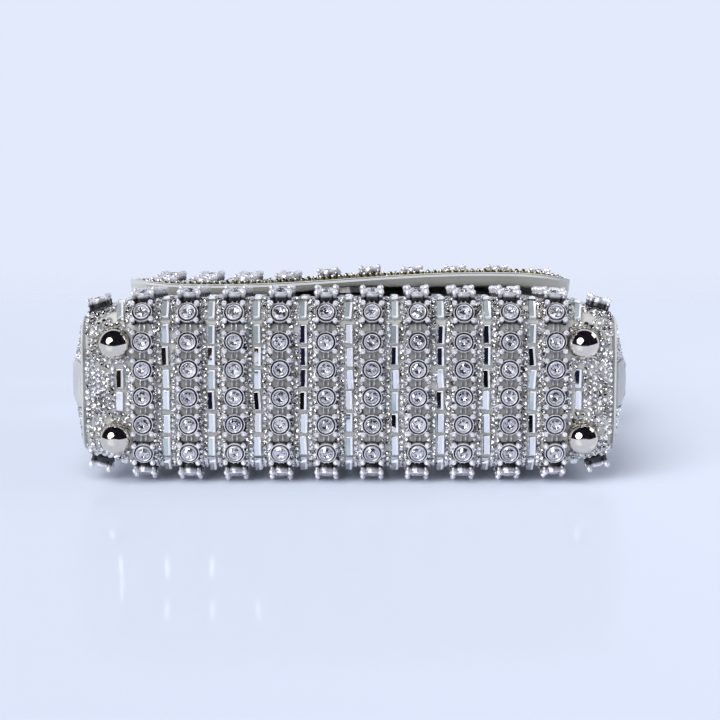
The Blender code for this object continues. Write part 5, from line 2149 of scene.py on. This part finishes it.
@dataclass
class Studio:
    """Camera, pale floor behind the bag's back, pale world with the dark end of the room, and lamps."""

    set_back: float
    floor_y: float
    camera_at: tuple[float, float, float] = (0.0042, -0.095243, -0.6873)
    camera_to: tuple[float, float, float] = (0.0042, -0.009943, 0.0075)
    lens: float = 91.65
    film: float = 36.0
    floor_front: float = -0.31
    floor_reach: float = 3.0
    floor_tone: Colour = (0.695, 0.75, 0.885)
    floor_gloss: float = 0.07
    floor_mirror: tuple[float, float] = (0.05, 0.10)
    floor_mirror_z: tuple[float, float] = (-0.24, 0.02)
    floor_fade_z: tuple[float, float] = (0.30, 1.1)
    soft_light: float = 0.37
    soft_tone: Colour = (0.90, 0.93, 1.0)
    pale: Colour = (0.76, 0.82, 0.97)
    dark_things: tuple[tuple[float, Colour], ...] = (
        (0.36, (0.004, 0.004, 0.006)), (0.46, (0.010, 0.012, 0.035)), (0.53, (0.006, 0.006, 0.006)),
        (0.60, (0.035, 0.018, 0.012)), (0.66, (0.012, 0.011, 0.011)),
    )
    suns: tuple[Sun, ...] = (
        Sun("left_key", (-0.48, -0.38, -0.79), 44.0, 1.68),
        Sun("overhead", (-0.24, -0.86, -0.44), 45.0, 1.75, seen=False),
        Sun("behind_floor", (0.12, 0.95, 0.24), 60.0, 1.1, seen=False),
    )
    lamp: Lamp = Lamp("right_softbox", (0.81, -0.55, 0.155), 0.8, (0.26, 0.36), 0.9)
    lamp_target: tuple[float, float, float] = (0, 0, 0.03)

    def build(self) -> None:
        """Set up camera, world, floor and lamps."""
        self.camera()
        self.world()
        self.floor()
        self.lamp.place(Vector(self.lamp_target))
        for sun in self.suns:
            sun.place()
        bpy.context.scene.view_settings.view_transform = "Standard"

    def camera(self) -> None:
        """A camera whose up is the bag's front."""
        lens = bpy.data.cameras.new("camera")
        lens.lens = self.lens
        lens.sensor_width = self.film
        lens.sensor_fit = "HORIZONTAL"
        lens.clip_start, lens.clip_end = 0.01, 20.0
        shift = Vector((0, self.set_back, 0))
        eye, target = Vector(self.camera_at) + shift, Vector(self.camera_to) + shift
        back = (eye - target).normalized()
        right = Vector((0, -1, 0)).cross(back).normalized()
        holder = bpy.data.objects.new("camera", lens)
        turn = Matrix((right, back.cross(right), back)).transposed().to_4x4()
        holder.matrix_world = Matrix.Translation(eye) @ turn
        bpy.context.scene.collection.objects.link(holder)
        bpy.context.scene.camera = holder

    def world(self) -> None:
        """A pale world; mirrors see its dark camera end too, as they do in a room."""
        world = bpy.data.worlds.new("studio")
        bpy.context.scene.world = world
        world.use_nodes = True
        world.node_tree.nodes.clear()
        nodes = Nodes(world.node_tree, "Generated")
        parts = nodes.node("ShaderNodeSeparateXYZ", in_0=nodes.place).outputs
        towards = nodes.level(parts["Z"], 0.42, 0.22, ease="SMOOTHSTEP")
        upward = nodes.level(parts["Y"], 0.45, 0.35, ease="SMOOTHSTEP")
        things = nodes.ramp(nodes.noise(2.4, 2.0), list(self.dark_things))
        colour = nodes.blend(nodes.maths("MULTIPLY", towards, upward), self.pale, things)
        room = nodes.node("ShaderNodeBackground", in_0=colour)
        soft = nodes.node("ShaderNodeBackground", in_0=(*self.soft_tone, 1), in_1=self.soft_light)
        backdrop = nodes.node("ShaderNodeBackground", in_0=(*self.pale, 1))
        rays = nodes.node("ShaderNodeLightPath").outputs
        seen = nodes.mix(rays["Is Camera Ray"], nodes.mix(rays["Is Glossy Ray"], soft, room), backdrop)
        nodes.node("ShaderNodeOutputWorld", in_0=seen.outputs[0])

    def floor(self) -> None:
        """The pale floor under the bag's back, faintly mirroring, open from below, far off and to lamps behind."""
        reach = self.floor_reach
        corners = ((-reach, self.floor_front), (reach, self.floor_front), (reach, reach), (-reach, reach))
        mesh = bpy.data.meshes.new("floor")
        mesh.from_pydata([(x, self.floor_y, z) for x, z in corners], [], [(0, 1, 2, 3)])
        floor = bpy.data.objects.new("floor", mesh)
        recipe = Recipe("pale_floor")
        faint = tuple(part * 0.995 for part in self.floor_tone)
        tone = recipe.blend(recipe.level(recipe.noise(2.0), 0.3, 0.7), self.floor_tone, faint)
        recipe.finished(Base_Color=tone, Roughness=0.9, Specular_IOR_Level=0.0)
        away = recipe.node("ShaderNodeSeparateXYZ", in_0=recipe.place).outputs["Z"]
        mirror = recipe.node("ShaderNodeBsdfGlossy")
        recipe.feed(mirror.inputs["Roughness"], self.floor_gloss)
        share = recipe.level(away, *self.floor_mirror_z, *self.floor_mirror)
        polished = recipe.mix(share, recipe.shader, mirror)
        below = recipe.node("ShaderNodeNewGeometry").outputs["Backfacing"]
        gone = recipe.maths("MAXIMUM", below, recipe.level(away, *self.floor_fade_z))
        gone = recipe.maths("MAXIMUM", gone, recipe.node("ShaderNodeLightPath").outputs["Is Shadow Ray"])
        surface = recipe.mix(gone, polished, recipe.node("ShaderNodeBsdfTransparent"))
        recipe.feed(recipe.tree.nodes["Material Output"].inputs["Surface"], surface.outputs[0])
        mesh.materials.append(recipe.material)
        bpy.context.scene.collection.objects.link(floor)
        floor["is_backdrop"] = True


def main() -> None:
    """Build the studio and the bag, and report each piece."""
    logging.basicConfig(level=logging.INFO, format="%(message)s")
    low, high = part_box("base_board")
    form = BodyForm(set_back=(low[1] + high[1]) / 2)
    Studio(set_back=form.set_back, floor_y=cad_box[1][1]).build()
    wardrobe = Wardrobe()
    setting = Setting()
    leather = LeatherBody(form, wardrobe)
    leather.build()
    Lining(form, wardrobe).build()
    Stiffeners(wardrobe).build()
    feet = Feet(form, wardrobe)
    feet.build()
    chains = CupChains(form, wardrobe, setting)
    chains.build()
    fields = StoneFields(form, wardrobe, feet, chains, BaguetteCut())
    fields.build()
    Flap(FlapForm(form), wardrobe, setting, fields).build()
    Snap(wardrobe).build()
    Handle(form, wardrobe, leather).build()
    model_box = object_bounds()
    for label, box in (("cad", cad_box), ("model", model_box)):
        log.info("%s box %s", label, [tuple(round(v, 4) for v in corner) for corner in box])


if __name__ == "__main__":
    main()
